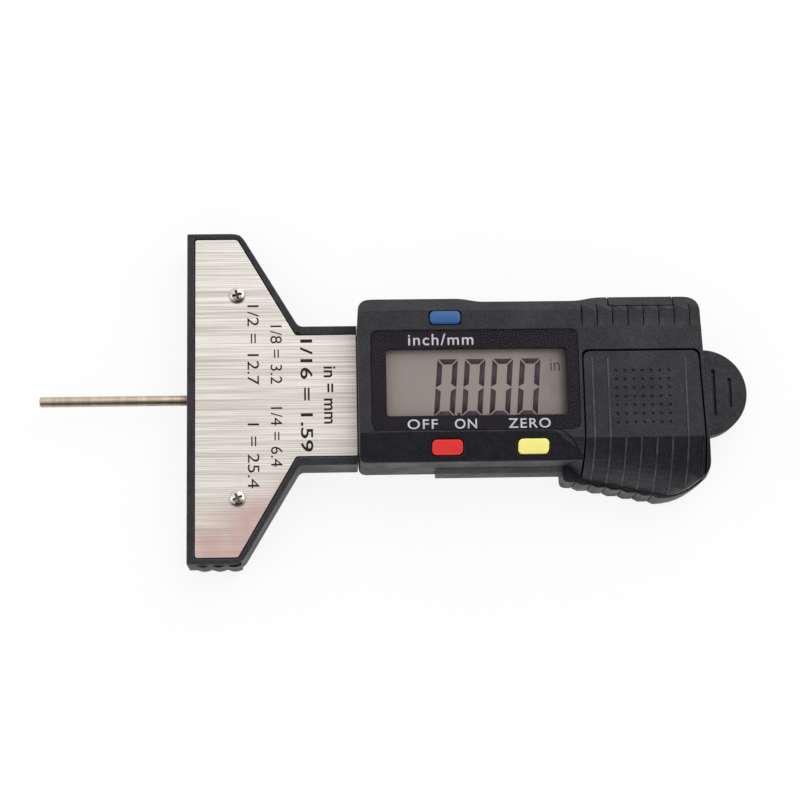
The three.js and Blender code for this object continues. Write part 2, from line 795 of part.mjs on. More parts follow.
function makeRearCase() {
  const outer = slab(roundedShape(rearOutline()), 0, rearTop);
  const cavityTop = rearTop + cutOverrun;
  const headCavity = block(
    headCavityStart, coverStart, -headBottomReach + headBottomWall, narrowTopReach - wall,
    backWall, cavityTop,
  );
  const gripCavity = block(
    coverStart, gripCavityEnd, -bellyStartReach + wall, narrowTopReach - wall, backWall, cavityTop,
  );
  const neckNotch = block(
    bodyStart - cutOverrun, tenonEnd + fitGap, -tenonHalf - fitGap, tenonHalf + fitGap,
    -cutOverrun, cavityTop,
  );
  const tabSlot = block(
    gripCavityEnd - cutOverrun, bodyEnd + cutOverrun, -channelHalf, channelHalf, channelFloor, cavityTop,
  );
  const columns = caseScrewPlaces.map(([x, y]) => uprightRod(
    caseColumnRadius, x, y, backWall / 2, rearTop,
  ));
  const clearHoles = caseScrewPlaces.map(([x, y]) => uprightRod(
    caseScrewShankRadius + seatGap, x, y, -cutOverrun, cavityTop, smallSides,
  ));
  const sinks = caseScrewPlaces.map(([x, y]) => uprightRod(
    caseScrewHeadRadius + fitGap, x, y, -cutOverrun, caseScrewSink,
  ));
  const shell = cut(outer, headCavity, gripCavity, neckNotch, tabSlot);
  return cut(join(shell, ...columns), ...clearHoles, ...sinks, ...sideSlots(0, rearTop));
}

function makeFrontCase() {
  const headCavity = lengthBar(headSection(wall, headBottomWall), headCavityStart, headCavityEnd);
  const topCavity = block(
    coverStart, gripCavityEnd, coverTopReach + wall, narrowTopReach - wall * 2, channelFloor, roofBottom,
  );
  const neckNotch = block(
    bodyStart - cutOverrun, headCavityStart + cutOverrun,
    -tenonHalf - fitGap, tenonHalf + fitGap, channelFloor, footThickness + seamGap,
  );
  const coverZone = slab(coverPlan(coverGap), frontBottom - cutOverrun, bodyThickness + cutOverrun);
  const shell = cut(notchedBody(), headCavity, topCavity, neckNotch, coverZone, portZone(fitGap));

  const tray = block(
    headCavityEnd, trayEnd, -gripRidgeReach, coverTopReach + wall, frontBottom, cellTop,
  );
  const trayFlange = block(
    coverStart + coverGap, trayEnd, -trayFlangeReach, -gripRidgeReach,
    frontBottom, frontBottom + trayFlangeHeight,
  );
  const topBosses = caseScrewPlaces.slice(0, 2).map(([x, y]) => uprightRod(
    caseBossRadius, x, y, frontBottom, bodyThickness - topChamferDrop, fineSides,
  ));
  const lowBosses = caseScrewPlaces.slice(2).map(([x, y]) => uprightRod(
    caseBossRadius, x, y, frontBottom, frontBottom + caseBossHeight, fineSides,
  ));
  const whole = join(shell, tray, trayFlange, ...topBosses, ...lowBosses);

  const bossHoles = caseScrewPlaces.map(([x, y]) => uprightRod(
    caseScrewShankRadius + seatGap, x, y, frontBottom - cutOverrun,
    caseScrewSink + caseScrewShankLength + seatGap / 2, smallSides,
  ));
  const cellPocket = uprightRod(
    cellRadius + cellPocketGap, cellAt, -cellOffset, trayTop, bodyThickness + cutOverrun,
  );
  const contactsHalfSpan = contactSpacing / 2 + contactWidth / 2 + fitGap;
  const contactBay = block(
    coverStart + wall, cellAt, -cellOffset - contactsHalfSpan, -cellOffset + contactsHalfSpan,
    trayTop, bodyThickness + cutOverrun,
  );
  const contactSlot = block(
    headCavityEnd - cutOverrun, coverStart + wall + cutOverrun,
    -cellOffset - contactsHalfSpan, -cellOffset + contactsHalfSpan,
    boardTop - fitGap, boardTop + contactThickness + seatGap * 2,
  );
  const portSlot = block(
    portStart + portSlotInset, portEnd - portSlotInset,
    narrowTopReach - wall * 2 - cutOverrun, bodyTopReach,
    portFootHeight + fitGap, portFootHeight + fitGap + portSlotHeight,
  );
  const panelRecess = slab(
    panelOutline(seamGap), panelBottom, bodyThickness + cutOverrun,
  );
  const windowHole = slab(windowOutline(0), roofBottom - cutOverrun, bodyThickness + cutOverrun);
  const buttonHoles = Object.values(buttonPlaces).map((place) => slab(
    buttonPlan(place, fitGap), boardTop, bodyThickness + cutOverrun,
  ));
  return cut(
    whole, ...bossHoles, cellPocket, contactBay, contactSlot, portSlot,
    panelRecess, windowHole, ...buttonHoles,
  );
}

function panelOutline(growth) {
  return rectangle(
    panelStart - growth, panelEnd + growth,
    -panelBottomReach - growth, panelTopReach + growth, panelRound,
  );
}

function windowOutline(growth) {
  return rectangle(
    windowStart - growth, windowEnd + growth,
    -windowBottomReach - growth, windowTopReach + growth, windowRound,
  );
}

function makeBatteryCover() {
  const zone = slab(coverPlan(0), frontBottom - cutOverrun, bodyThickness + cutOverrun);
  const plate = cut(upperBody().intersect(zone), gripBody(coverWall));
  const ribZone = slab(coverPlan(-coverRibWidth), frontBottom - cutOverrun, bodyThickness + cutOverrun);
  const plan = slab(roundedShape(frontOutline(endDraft)), frontBottom, bodyThickness + cutOverrun);
  const grown = cut(gripBody(-coverRibHeight), gripBody(coverWall / 2)).intersect(plan).intersect(ribZone);
  const outerRibs = [0, 1, ribCount - 2, ribCount - 1];
  const ribs = ribPlaces().map((x, k) => {
    const ribTop = outerRibs.includes(k) ? coverTopReach - coverRibTopInset : -gripRidgeReach;
    const centre = x + coverRibFromNotch;
    const band = block(
      centre - coverRibWidth / 2, centre + coverRibWidth / 2,
      -gripSideRear - cutOverrun, ribTop, frontBottom + seatGap, bodyThickness + cutOverrun,
    );
    return grown.intersect(band);
  });
  const dimples = [];
  const gridSpan = (dimplePerSide - 1) * dimplePitch;
  for (let row = 0; row < dimplePerSide; row += 1) {
    for (let column = 0; column < dimplePerSide; column += 1) {
      const x = cellAt - dimplesBeforeCell - gridSpan / 2 + column * dimplePitch;
      const y = coverTopReach - dimpleTopInset - row * dimplePitch;
      dimples.push(uprightRod(
        dimpleRadius, x, y, bodyThickness - dimpleDepth, bodyThickness + cutOverrun, dimpleSides,
      ));
    }
  }
  return cut(join(plate, ...ribs), ...dimples);
}

function makePortCover() {
  return notchedBody().intersect(portZone(0));
}

// The printed mask has the window cut out of it, and a clear sheet covers both
function makePanelMask() {
  const top = bodyThickness - panelSheetThickness;
  const hole = slab(windowOutline(0), panelBottom - cutOverrun, top + cutOverrun);
  return cut(slab(panelOutline(0), panelBottom, top), hole);
}

function makePanelSheet() {
  return slab(panelOutline(0), bodyThickness - panelSheetThickness, bodyThickness);
}

// Two sheets of glass, of which the lower one sticks out as a ledge for the connections
function makeDisplayGlass() {
  const lowerTop = glassBottom + glassThickness / 2;
  const lower = block(glassStart, glassEnd, glassLow, glassHigh, glassBottom, lowerTop);
  const upper = block(glassStart, glassEnd, glassLow + ledgeWidth, glassHigh, glassBottom, glassTop);
  return join(lower, upper);
}

// A white sheet behind the glass, clear of the ledge
function makeReflector() {
  return block(
    glassStart, glassEnd, glassLow + holderWall + zebraWidth + fitGap * 2, glassHigh, holderTop, glassBottom,
  );
}

function makeDisplayHolder() {
  const frame = block(holderStart, holderEnd, glassLow, glassHigh, boardTop, holderTop);
  const opening = block(
    holderStart + holderWall, holderEnd - holderWall, glassLow + holderWall, glassHigh - holderWall,
    boardTop - cutOverrun, holderTop + cutOverrun,
  );
  return cut(frame, opening);
}

function makeConnectorStrip() {
  const low = glassLow + holderWall + fitGap;
  return block(
    holderStart + holderWall + fitGap, holderEnd - holderWall - fitGap,
    low, low + zebraWidth, boardTop, glassBottom,
  );
}

function makeCircuitBoard() {
  const low = -headBottomReach + headBottomWall + boardEdgeGap;
  const high = narrowTopReach - wall - boardEdgeGap;
  const end = headCavityEnd - boardEdgeGap;
  const board = slab(rectangle(boardStart, end, low, high, boardEdgeGap), boardBottom, boardTop);
  const notch = block(
    boardStart - cutOverrun, boardStart + boardCornerNotch + seatGap,
    caseScrewTopReach - caseBossRadius - seatGap, high + cutOverrun,
    boardBottom - cutOverrun, boardTop + cutOverrun,
  );
  return cut(board, notch);
}

function makeControllerChip() {
  const shares = [[1, 0], [0.95, 0.45], [0.75, 0.8], [0.4, 0.97], [0, 1]];
  const dome = shares.map(([radiusShare, heightShare]) => [
    chipRadius * radiusShare, boardTop + chipHeight * heightShare,
  ]);
  const chipAt = THREE.MathUtils.lerp(boardStart, headCavityEnd, chipAlongShare);
  return turned([[0, boardTop], ...dome], fineSides, chipAt, 0);
}

// A switch stands a little inwards of its button's middle, so that all of it is on the board
function makeSwitch(place) {
  const { x } = place;
  const y = place.y - Math.sign(place.y) * switchInset;
  const half = switchSize / 2;
  const body = block(x - half, x + half, y - half, y + half, boardTop, boardTop + switchHeight);
  const plunger = uprightRod(
    plungerRadius, x, y, boardTop + switchHeight / 2, boardTop + switchHeight + plungerHeight, smallSides,
  );
  return join(body, plunger);
}

// A button's cap follows the face around it. A flange inside keeps it in the case.
function makeTopButton(place) {
  const top = bodyThickness + buttonProud;
  const cap = slab(buttonPlan(place, 0), pressStart, top);
  const dishRadius = (place.width * place.width / 4 + buttonDish * buttonDish) / (2 * buttonDish);
  const dish = lengthRod(
    dishRadius, place.x - buttonLength / 4, place.x + buttonLength / 4, place.y - place.width / 2,
    top + dishRadius - buttonDish / 2, fineSides * 2,
  );
  const flangeTop = roofBottom - topChamferDrop;
  const flange = slab(buttonPlan(place, buttonFlange), flangeTop - buttonFlangeThickness, flangeTop);
  return join(cut(cap, dish), flange);
}

function makeSlopeButton(place) {
  const halfWidth = place.width / 2;
  const low = place.y - halfWidth - cutOverrun;
  const high = place.y + halfWidth + cutOverrun;
  const face = roundedShape([
    [low, pressStart - cutOverrun],
    [high, pressStart - cutOverrun],
    [high, slopeHeight(high) + buttonProud],
    [low, slopeHeight(low) + buttonProud],
  ]);
  const under = lengthBar(face, place.x - buttonLength, place.x + buttonLength);
  const cap = slab(buttonPlan(place, 0), pressStart, bodyThickness + buttonProud).intersect(under);
  const flangeLow = -headBottomReach + headBottomWall + fitGap;
  const flange = block(
    place.x - buttonLength / 2 - buttonFlange, place.x + buttonLength / 2 + buttonFlange,
    Math.max(place.y - halfWidth - buttonFlange, flangeLow), place.y + halfWidth + buttonFlange,
    pressStart, pressStart + buttonFlangeThickness,
  );
  return join(cap, flange);
}

function makeCoinCell() {
  const capRadius = cellRadius - cellCapInset;
  return turned([
    [0, cellBottom],
    [capRadius, cellBottom],
    [capRadius, cellBottom + cellCapHeight],
    [cellRadius, cellBottom + cellCapHeight],
    [cellRadius, cellTop],
    [0, cellTop],
  ], fineSides, cellAt, -cellOffset);
}

// The negative contact dips under the cell and rises to its middle
function makeNegativeContact() {
  const middle = -cellOffset + contactSpacing / 2;
  const low = trayTop + contactThickness * 0.75;
  return sheetStrip([
    [contactStart, contactHeight],
    [coverStart + wall, contactHeight],
    [coverStart + wall + contactLift * 2, low],
    [cellAt - cellRadius / 2, low],
    [cellAt, low + contactThickness / 2],
  ], contactThickness, middle - contactWidth / 2, middle + contactWidth / 2);
}

// The positive contact stands up against the side of the cell
function makePositiveContact() {
  const middle = -cellOffset - contactSpacing / 2;
  const offAxis = Math.abs(middle + cellOffset) - contactWidth / 2;
  const side = cellAt - Math.sqrt(cellRadius * cellRadius - offAxis * offAxis) - seatGap - contactThickness;
  const bend = contactThickness;
  return sheetStrip([
    [contactStart, contactHeight],
    [side - bend, contactHeight],
    [side, contactHeight + bend],
    [side, cellTop - trayLip],
  ], contactThickness, middle - contactWidth / 2, middle + contactWidth / 2);
}

// The slider is one flat bar that ends in the thumb tab outside the case
function makeSlider() {
  const plan = new THREE.Shape();
  plan.moveTo(sliderFront, -sliderHalf);
  plan.lineTo(tabCentre, -sliderHalf);
  plan.absarc(tabCentre, 0, sliderHalf, -Math.PI / 2, Math.PI / 2, false);
  plan.lineTo(sliderFront, sliderHalf);
  plan.closePath();
  const geometry = new THREE.ExtrudeGeometry(plan, {
    depth: sliderThickness, bevelEnabled: false, curveSegments: smallSides,
  });
  const bar = solidOf(geometry.translate(0, 0, sliderBottom));
  const boss = block(
    sliderFront, sliderFront + sliderBossLength, -scaleWidth / 2, scaleWidth / 2, sliderBottom, bossTop,
  );
  const grooves = [0, 1].map((k) => {
    const x = bodyEnd + tabGrooveOffset + k * tabGroovePitch;
    const half = (tabGrooveLength - k * tabGrooveShortening) / 2;
    return slab(
      rectangle(x - tabGrooveWidth / 2, x + tabGrooveWidth / 2, -half, half, tabGrooveWidth / 2),
      sliderTop - tabGrooveDepth, sliderTop + cutOverrun,
    );
  });
  const scaleBed = block(
    scaleStart - fitGap, scaleEnd + fitGap, -scaleWidth / 2 - fitGap, scaleWidth / 2 + fitGap,
    sliderTop - scaleThickness - scaleSink, sliderTop + cutOverrun,
  );
  const probeSeat = lengthRod(
    probeRadius + fitGap, sliderFront - cutOverrun, sliderFront + probeSeatLength + fitGap, 0, probeHeight,
  );
  const screwHole = uprightRod(
    setScrewRadius + fitGap, sliderFront + setScrewFromFront, 0,
    probeHeight, bossTop + cutOverrun, smallSides,
  );
  return cut(join(bar, boss), ...grooves, scaleBed, probeSeat, screwHole);
}

function makeScaleStrip() {
  const bottom = sliderTop - scaleThickness - scaleSink;
  return block(scaleStart, scaleEnd, -scaleWidth / 2, scaleWidth / 2, bottom, bottom + scaleThickness);
}

function makeProbeRod() {
  const length = probeReach + sliderFront + probeSeatLength;
  const roundShares = [[0, 0], [0.72, 0], [0.92, 0.3], [1, 1]];
  const tip = roundShares.map(([radiusShare, roundShare]) => new THREE.Vector2(
    probeRadius * radiusShare, probeTipRound * roundShare,
  ));
  const profile = [...tip, new THREE.Vector2(probeRadius, length), new THREE.Vector2(0, length)];
  const geometry = new THREE.LatheGeometry(profile, fineSides);
  return solidOf(geometry.applyMatrix4(yTurnedToX).translate(-probeReach, 0, probeHeight));
}

function makeSetScrew() {
  const bottom = probeHeight + probeRadius + slideGap;
  const x = sliderFront + setScrewFromFront;
  const body = uprightRod(setScrewRadius, x, 0, bottom, bossTop, smallSides);
  const slot = block(
    x - setScrewRadius - cutOverrun, x + setScrewRadius + cutOverrun,
    -setScrewSlotWidth / 2, setScrewSlotWidth / 2,
    bossTop - setScrewSlotDepth, bossTop + cutOverrun,
  );
  return cut(body, slot);
}

// A bowed leaf in the channel's floor presses on the slider
function makeFrictionSpring() {
  const start = channelStart + springFromChannel;
  const ends = channelFloor - springPocketDepth + springThickness / 2;
  const rise = springPocketDepth - springThickness - slideGap / 2;
  const points = Array.from({ length: springSteps + 1 }, (_, i) => {
    const share = i / springSteps;
    return [start + springLength * share, ends + rise * Math.sin(Math.PI * share)];
  });
  return sheetStrip(points, springThickness, -springWidth / 2, springWidth / 2);
}

// Finishes
function finish(color, roughness, metalness = 0) {
  return new THREE.MeshStandardMaterial({ color, roughness, metalness, flatShading: true });
}

const blackPlastic = finish(0x3a383c, 0.6);
const smoothBlack = finish(0x28242a, 0.25);
const brushedPlate = finish(0xdcd8cd, 0.35, 0.9);
const nickel = finish(0xc9c6be, 0.25, 1);
const probeSteel = finish(0xb9ab98, 0.3, 1);
const springSteel = finish(0xb5b5b2, 0.35, 1);
const clearSheet = new THREE.MeshStandardMaterial({
  color: 0xf2f4f4, roughness: 0.08, transparent: true, opacity: 0.3, flatShading: true,
});
const displayGlass = finish(0x8f8a84, 0.15);
const whitePlastic = finish(0xe8e6df, 0.5);
const carbonRubber = finish(0x55565a, 0.8);
const boardGreen = finish(0x1f5a3c, 0.45);
const epoxyBlack = finish(0x151517, 0.4);
const copperScale = finish(0xb98a4e, 0.35, 0.8);
const brassContact = finish(0xc9ad62, 0.3, 1);

const gauge = new THREE.Group();

function place(parent, name, solid, material) {
  const mesh = new THREE.Mesh(geometryOf(solid), material);
  mesh.name = name;
  parent.add(mesh);
  return mesh;
}

// Fixed pieces
place(gauge, 'main_frame', makeMainFrame(), blackPlastic);
place(gauge, 'name_plate', makeNamePlate(), brushedPlate);
plateScrewPlaces().forEach(([x, y], i) => {
  const turn = y < 0 ? lowerScrewTurn : upperScrewTurn;
  const screw = crossScrew(
    plateScrewHeadRadius, plateScrewHeadHeight, plateScrewShankRadius, plateScrewShankLength, turn,
  );
  place(gauge, `plate_screw_${i + 1}`, screw, nickel).position.set(x, y, plateTop);
});
place(gauge, 'rear_case', makeRearCase(), blackPlastic);
place(gauge, 'front_case', makeFrontCase(), blackPlastic);
caseScrewPlaces.forEach(([x, y], i) => {
  const screw = crossScrew(
    caseScrewHeadRadius, caseScrewHeadHeight, caseScrewShankRadius, caseScrewShankLength, lowerScrewTurn * i,
  );
  const mesh = place(gauge, `case_screw_${i + 1}`, screw, nickel);
  mesh.rotation.x = Math.PI;
  mesh.position.set(x, y, caseScrewSink);
});
place(gauge, 'panel_mask', makePanelMask(), smoothBlack);
place(gauge, 'panel_sheet', makePanelSheet(), clearSheet);
place(gauge, 'display_glass', makeDisplayGlass(), displayGlass);
place(gauge, 'display_reflector', makeReflector(), whitePlastic);
place(gauge, 'display_holder', makeDisplayHolder(), whitePlastic);
place(gauge, 'connector_strip', makeConnectorStrip(), carbonRubber);
place(gauge, 'circuit_board', makeCircuitBoard(), boardGreen);
place(gauge, 'controller_chip', makeControllerChip(), epoxyBlack);
place(gauge, 'coin_cell', makeCoinCell(), nickel);
place(gauge, 'contact_negative', makeNegativeContact(), brassContact);
place(gauge, 'contact_positive', makePositiveContact(), brassContact);
place(gauge, 'friction_spring', makeFrictionSpring(), springSteel);

// Buttons and the switches below them
Object.entries(buttonPlaces).forEach(([name, spot]) => {
  const solid = spot.y > 0 ? makeTopButton(spot) : makeSlopeButton(spot);
  place(gauge, `${name}_button`, solid, finish(spot.tint, 0.35));
  place(gauge, `${name}_switch`, makeSwitch(spot), epoxyBlack);
});

// Covers
place(gauge, 'battery_cover', makeBatteryCover(), blackPlastic);
place(gauge, 'port_cover', makePortCover(), blackPlastic);

// The sliding pieces
const slide = new THREE.Group();
gauge.add(slide);
place(slide, 'slider', makeSlider(), blackPlastic);
place(slide, 'scale_strip', makeScaleStrip(), copperScale);
place(slide, 'probe_rod', makeProbeRod(), probeSteel);
place(slide, 'probe_set_screw', makeSetScrew(), springSteel);

// The finished gauge is centred on its length, from the probe's tip to the end of the tab
gauge.position.x = (probeReach - (bodyEnd + tabReach)) / 2;

export default gauge;
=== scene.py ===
"""Dresses a small depth gauge: finished pieces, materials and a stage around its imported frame."""

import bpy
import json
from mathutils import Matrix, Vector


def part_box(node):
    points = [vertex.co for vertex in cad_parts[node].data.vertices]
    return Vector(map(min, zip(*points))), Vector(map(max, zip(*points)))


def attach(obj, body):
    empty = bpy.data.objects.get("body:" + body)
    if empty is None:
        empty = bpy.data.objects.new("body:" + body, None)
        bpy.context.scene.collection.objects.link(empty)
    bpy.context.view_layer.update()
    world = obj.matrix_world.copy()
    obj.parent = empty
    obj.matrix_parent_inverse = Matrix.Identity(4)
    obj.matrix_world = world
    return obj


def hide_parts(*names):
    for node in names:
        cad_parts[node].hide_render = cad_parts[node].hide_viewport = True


bl_info = {
    "name": "Depth Gauge",
    "version": (1, 0, 0),
    "blender": (4, 5, 0),
    "location": "View3D > Sidebar > Depth Gauge",
    "description": "Builds the finished pieces, the materials and the stage of a small depth gauge",
    "category": "Object",
}

import json
import math

import bmesh
import bpy
from mathutils import Matrix, Vector
from mathutils.bvhtree import BVHTree

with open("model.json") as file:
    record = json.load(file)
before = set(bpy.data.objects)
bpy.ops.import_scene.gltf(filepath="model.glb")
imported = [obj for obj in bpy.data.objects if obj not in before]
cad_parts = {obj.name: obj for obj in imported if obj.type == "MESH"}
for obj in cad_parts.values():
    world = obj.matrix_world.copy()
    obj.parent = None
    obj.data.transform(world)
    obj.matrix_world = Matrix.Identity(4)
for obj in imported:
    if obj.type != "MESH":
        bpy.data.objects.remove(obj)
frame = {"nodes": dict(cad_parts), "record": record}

MM = 0.001
BODY_OF = {
    node: body
    for body, nodes in frame["record"]["behaviour"]["bodies"].items()
    for node in nodes
}
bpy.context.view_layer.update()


# Settings

def srgb(red, green, blue):
    """A colour given as it looks on a screen, from 0 to 255, as Blender's linear numbers"""
    shares = [value / 255 for value in (red, green, blue)]
    return tuple(
        share / 12.92 if share <= 0.04045 else ((share + 0.055) / 1.055) ** 2.4
        for share in shares
    )


def colour_property(name, description, *values):
    return bpy.props.FloatVectorProperty(
        name=name, description=description, default=srgb(*values),
        min=0.0, max=1.0, size=3, subtype="COLOR",
    )


def length_property(name, description, millimetres):
    return bpy.props.FloatProperty(
        name=name, description=description, default=millimetres * MM,
        min=0.0, precision=5, unit="LENGTH",
    )


def angle_property(name, description, radians):
    return bpy.props.FloatProperty(
        name=name, description=description, default=radians, subtype="ANGLE", unit="ROTATION",
    )


def power_property(name, description, watts):
    return bpy.props.FloatProperty(
        name=name, description=description, default=watts, min=0.0, unit="POWER",
    )


class GaugeSizes(bpy.types.PropertyGroup):
    """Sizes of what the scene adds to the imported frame"""

    case_edge: length_property("Case Edge", "Width of the rounding on the case's edges", 0.16)
    foot_edge: length_property("Foot Edge", "Width of the rounding on the foot and neck", 0.22)
    cover_edge: length_property("Cover Edge", "Width of the rounding on the covers", 0.12)
    key_edge: length_property("Key Edge", "Width of the rounding on the keys", 0.38)
    cell_edge: length_property("Cell Edge", "Width of the rounding on the coin cell", 0.3)
    metal_edge: length_property("Metal Edge", "Width of the rounding on small metal pieces", 0.05)
    sheet_gap: length_property("Sheet Gap", "Room for the print under the clear sheet", 0.03)
    print_thickness: length_property("Print Thickness", "Thickness of the printed letters", 0.012)
    groove_width: length_property("Groove Width", "Width of the curved groove beside the cover", 0.34)
    groove_depth: length_property("Groove Depth", "Depth of the curved groove beside the cover", 0.28)
    line_width: length_property("Line Width", "Width of the fine lines in the grip", 0.26)
    line_depth: length_property("Line Depth", "Depth of the fine lines in the grip", 0.5)
    digit_width: length_property("Digit Width", "Width of one digit on the display", 3.45)
    digit_height: length_property("Digit Height", "Height of one digit on the display", 9.75)
    digit_pitch: length_property("Digit Pitch", "Distance from one digit to the next", 4.62)
    stroke_width: length_property("Stroke Width", "Width of a digit's strokes", 0.88)
    stroke_gap: length_property("Stroke Gap", "Light gap between a digit's strokes", 0.16)
    digit_slant: angle_property("Digit Slant", "How far the digits lean", math.radians(4.8))


class GaugeColours(bpy.types.PropertyGroup):
    """Colours of the gauge's finishes"""

    case_black: colour_property("Case Black", "Moulded case, foot and slider", 13, 11, 18)
    case_grey: colour_property("Case Grey", "Lighter grain of the moulded case", 36, 33, 42)
    # Edges paler partly from rubbing and partly as a painted highlight
    worn_highlit_black: colour_property("Worn Black", "Edges that handling has polished", 92, 90, 95)
    panel_black: colour_property("Panel Black", "Printed black of the display panel", 39, 36, 41)
    panel_dust: colour_property("Panel Dust", "Faint haze on the display panel", 45, 42, 47)
    panel_print: colour_property("Panel Print", "Words printed on the display panel", 205, 203, 208)
    plate: colour_property("Plate", "Brushed plate on the foot", 238, 233, 226)
    plate_streak: colour_property("Plate Streak", "Darker streaks of the brushing", 190, 184, 171)
    plate_blush: colour_property("Plate Blush", "Warm tint at the plate's lower end", 205, 168, 163)
    plate_print: colour_property("Plate Print", "Figures printed on the plate", 34, 30, 32)
    display: colour_property("Display", "Display ground", 145, 137, 130)
    # Partly a warmer tint and partly painted shade at the display's right side
    display_warm_shaded: colour_property("Display Warm", "Display ground at its right side", 118, 107, 107)
    display_shade: colour_property("Display Shade", "Display ground that the panel shades", 78, 71, 73)
    display_stroke: colour_property("Display Stroke", "Strokes of the digits", 72, 62, 66)
    blue_key: colour_property("Blue Key", "Key above the display", 46, 94, 148)
    red_key: colour_property("Red Key", "First key below the display", 232, 50, 48)
    yellow_key: colour_property("Yellow Key", "Second key below the display", 255, 247, 140)
    nickel: colour_property("Nickel", "Plated screws", 218, 212, 200)
    probe: colour_property("Probe", "Ground steel of the probe", 206, 190, 168)
    spring: colour_property("Spring", "Leaf spring and set screw", 188, 188, 185)
    cell: colour_property("Cell", "Coin cell", 148, 148, 145)
    brass: colour_property("Brass", "Battery contacts", 206, 180, 108)
    copper: colour_property("Copper", "Printed copper of the scale", 196, 140, 84)
    scale_film: colour_property("Scale Film", "Ground of the scale strip", 214, 206, 180)
    board: colour_property("Board", "Circuit board", 28, 88, 56)
    board_trace: colour_property("Board Trace", "Tracks on the circuit board", 52, 122, 74)
    chip: colour_property("Chip", "Resin and switch bodies", 20, 20, 22)
    rubber: colour_property("Rubber", "Connector strip", 84, 85, 90)
    cream: colour_property("Cream", "Warmer tone of the white pieces", 222, 218, 206)
    white: colour_property("White", "Holder and sheet behind the glass", 232, 230, 223)
    floor: colour_property("Floor", "Floor that the gauge lies on", 246, 246, 246)
    front_shade: colour_property("Front Shade", "Dimmer side of the room in reflections", 12, 11, 14)


class GaugeStudio(bpy.types.PropertyGroup):
    """The camera and the light"""

    lens: bpy.props.FloatProperty(
        name="Lens", description="Focal length on a 36 mm wide sensor, in millimetres",
        default=90.0, min=1.0,
    )
    camera_place: bpy.props.FloatVectorProperty(
        name="Camera Place", description="Where the camera stands in the gauge's frame",
        default=(-12.228 * MM, -70.587 * MM, 338.851 * MM), size=3, subtype="TRANSLATION", precision=5,
    )
    camera_tilt: angle_property("Camera Tilt", "Lean of the view away from straight down", 0.20724)
    camera_pan: angle_property("Camera Pan", "Turn of the view to the right", 0.0384)
    camera_roll: angle_property("Camera Roll", "Turn of the picture", -0.01152)
    key_power: power_property("Key Power", "Power of the large soft lamp", 1.9)
    fill_power: power_property("Fill Power", "Power of the lamp opposite", 0.75)
    room_light: bpy.props.FloatProperty(
        name="Room Light", description="Share of the light that comes from all round",
        default=0.82, min=0.0, max=1.0,
    )
    floor_white: bpy.props.FloatProperty(
        name="Floor White", description="Share of the floor's look that is plain white to the eye",
        default=0.85, min=0.0, max=1.0, subtype="FACTOR",
    )


def sizes():
    return bpy.context.scene.gauge_sizes


def colours():
    return bpy.context.scene.gauge_colours


def studio():
    return bpy.context.scene.gauge_studio


# Node trees

WHITE = (1.0, 1.0, 1.0)
FULL_BAND = (0.0, 1.0)

# Bands of a noise's values, which lie around one half
WIDE_BAND = (0.3, 0.7)
MIDDLE_BAND = (0.35, 0.65)


class Tree:
    """Adds nodes to a node tree and joins them"""

    def __init__(self, tree):
        self.tree = tree

    def fill(self, socket, value):
        """Joins a socket to another one, or sets its value. A colour comes without its alpha."""
        if isinstance(value, bpy.types.NodeSocket):
            self.tree.links.new(value, socket)
        else:
            socket.default_value = (*value, 1.0) if socket.type == "RGBA" else value

    def node(self, kind, inputs=None, **options):
        node = self.tree.nodes.new(kind)
        for name, value in options.items():
            setattr(node, name, value)
        for name, value in (inputs or {}).items():
            self.fill(node.inputs[name], value)
        return node

    def group(self, name, inputs=None):
        return self.node("ShaderNodeGroup", inputs, node_tree=bpy.data.node_groups[name]).outputs

    def math(self, operation, first, second):
        return self.node("ShaderNodeMath", {0: first, 1: second}, operation=operation).outputs[0]

    def vector_math(self, operation, first, second):
        return self.node("ShaderNodeVectorMath", {0: first, 1: second}, operation=operation)

    def mix(self, share, first, second):
        return self.node("ShaderNodeMix", {0: share, 6: first, 7: second}, data_type="RGBA").outputs[2]

    def mix_shaders(self, share, first, second):
        return self.node("ShaderNodeMixShader", {0: share, 1: first, 2: second}).outputs[0]

    def add_shares(self, share, first, second):
        """The share of the first value and the rest of the second, added up"""
        first_part = self.math("MULTIPLY", first, share)
        return self.math("ADD", first_part, self.math("MULTIPLY", second, 1 - share))

    def remap(self, value, band, ends=FULL_BAND):
        """Spreads a band of values smoothly from one end to the other"""
        return self.node("ShaderNodeMapRange", {
            "Value": value, "From Min": band[0], "From Max": band[1], "To Min": ends[0], "To Max": ends[1],
        }, interpolation_type="SMOOTHSTEP").outputs[0]

    def noise(self, place, scale, detail=2.0):
        return self.node("ShaderNodeTexNoise", {
            "Vector": place, "Scale": scale, "Detail": detail,
        }).outputs[0]

    def object_place(self):
        return self.node("ShaderNodeTexCoord").outputs["Object"]

    def axis(self, name):
        return self.node("ShaderNodeSeparateXYZ", {0: self.object_place()}).outputs[name]

    def attribute(self, name):
        return self.node("ShaderNodeAttribute", attribute_name=name).outputs["Fac"]

    def seen_share(self):
        """1 for rays from the camera, a mirror or glass, and 0 for the rest"""
        path = self.node("ShaderNodeLightPath").outputs
        seen = self.math("MAXIMUM", path["Is Camera Ray"], path["Is Glossy Ray"])
        return self.math("MAXIMUM", seen, path["Is Transmission Ray"])


def emptied(owner):
    """The tree of a material or world, with nothing in it"""
    owner.use_nodes = True
    owner.node_tree.nodes.clear()
    return Tree(owner.node_tree)


def new_group(name, inputs, outputs):
    """A shader node group with named inputs and outputs, and the nodes that stand for them"""
    group = bpy.data.node_groups.new(name, "ShaderNodeTree")
    for label, kind, default in inputs:
        group.interface.new_socket(label, in_out="INPUT", socket_type=kind).default_value = default
    for label in outputs:
        group.interface.new_socket(label, in_out="OUTPUT", socket_type="NodeSocketFloat")
    tree = Tree(group)
    return tree, tree.node("NodeGroupInput").outputs, tree.node("NodeGroupOutput").inputs


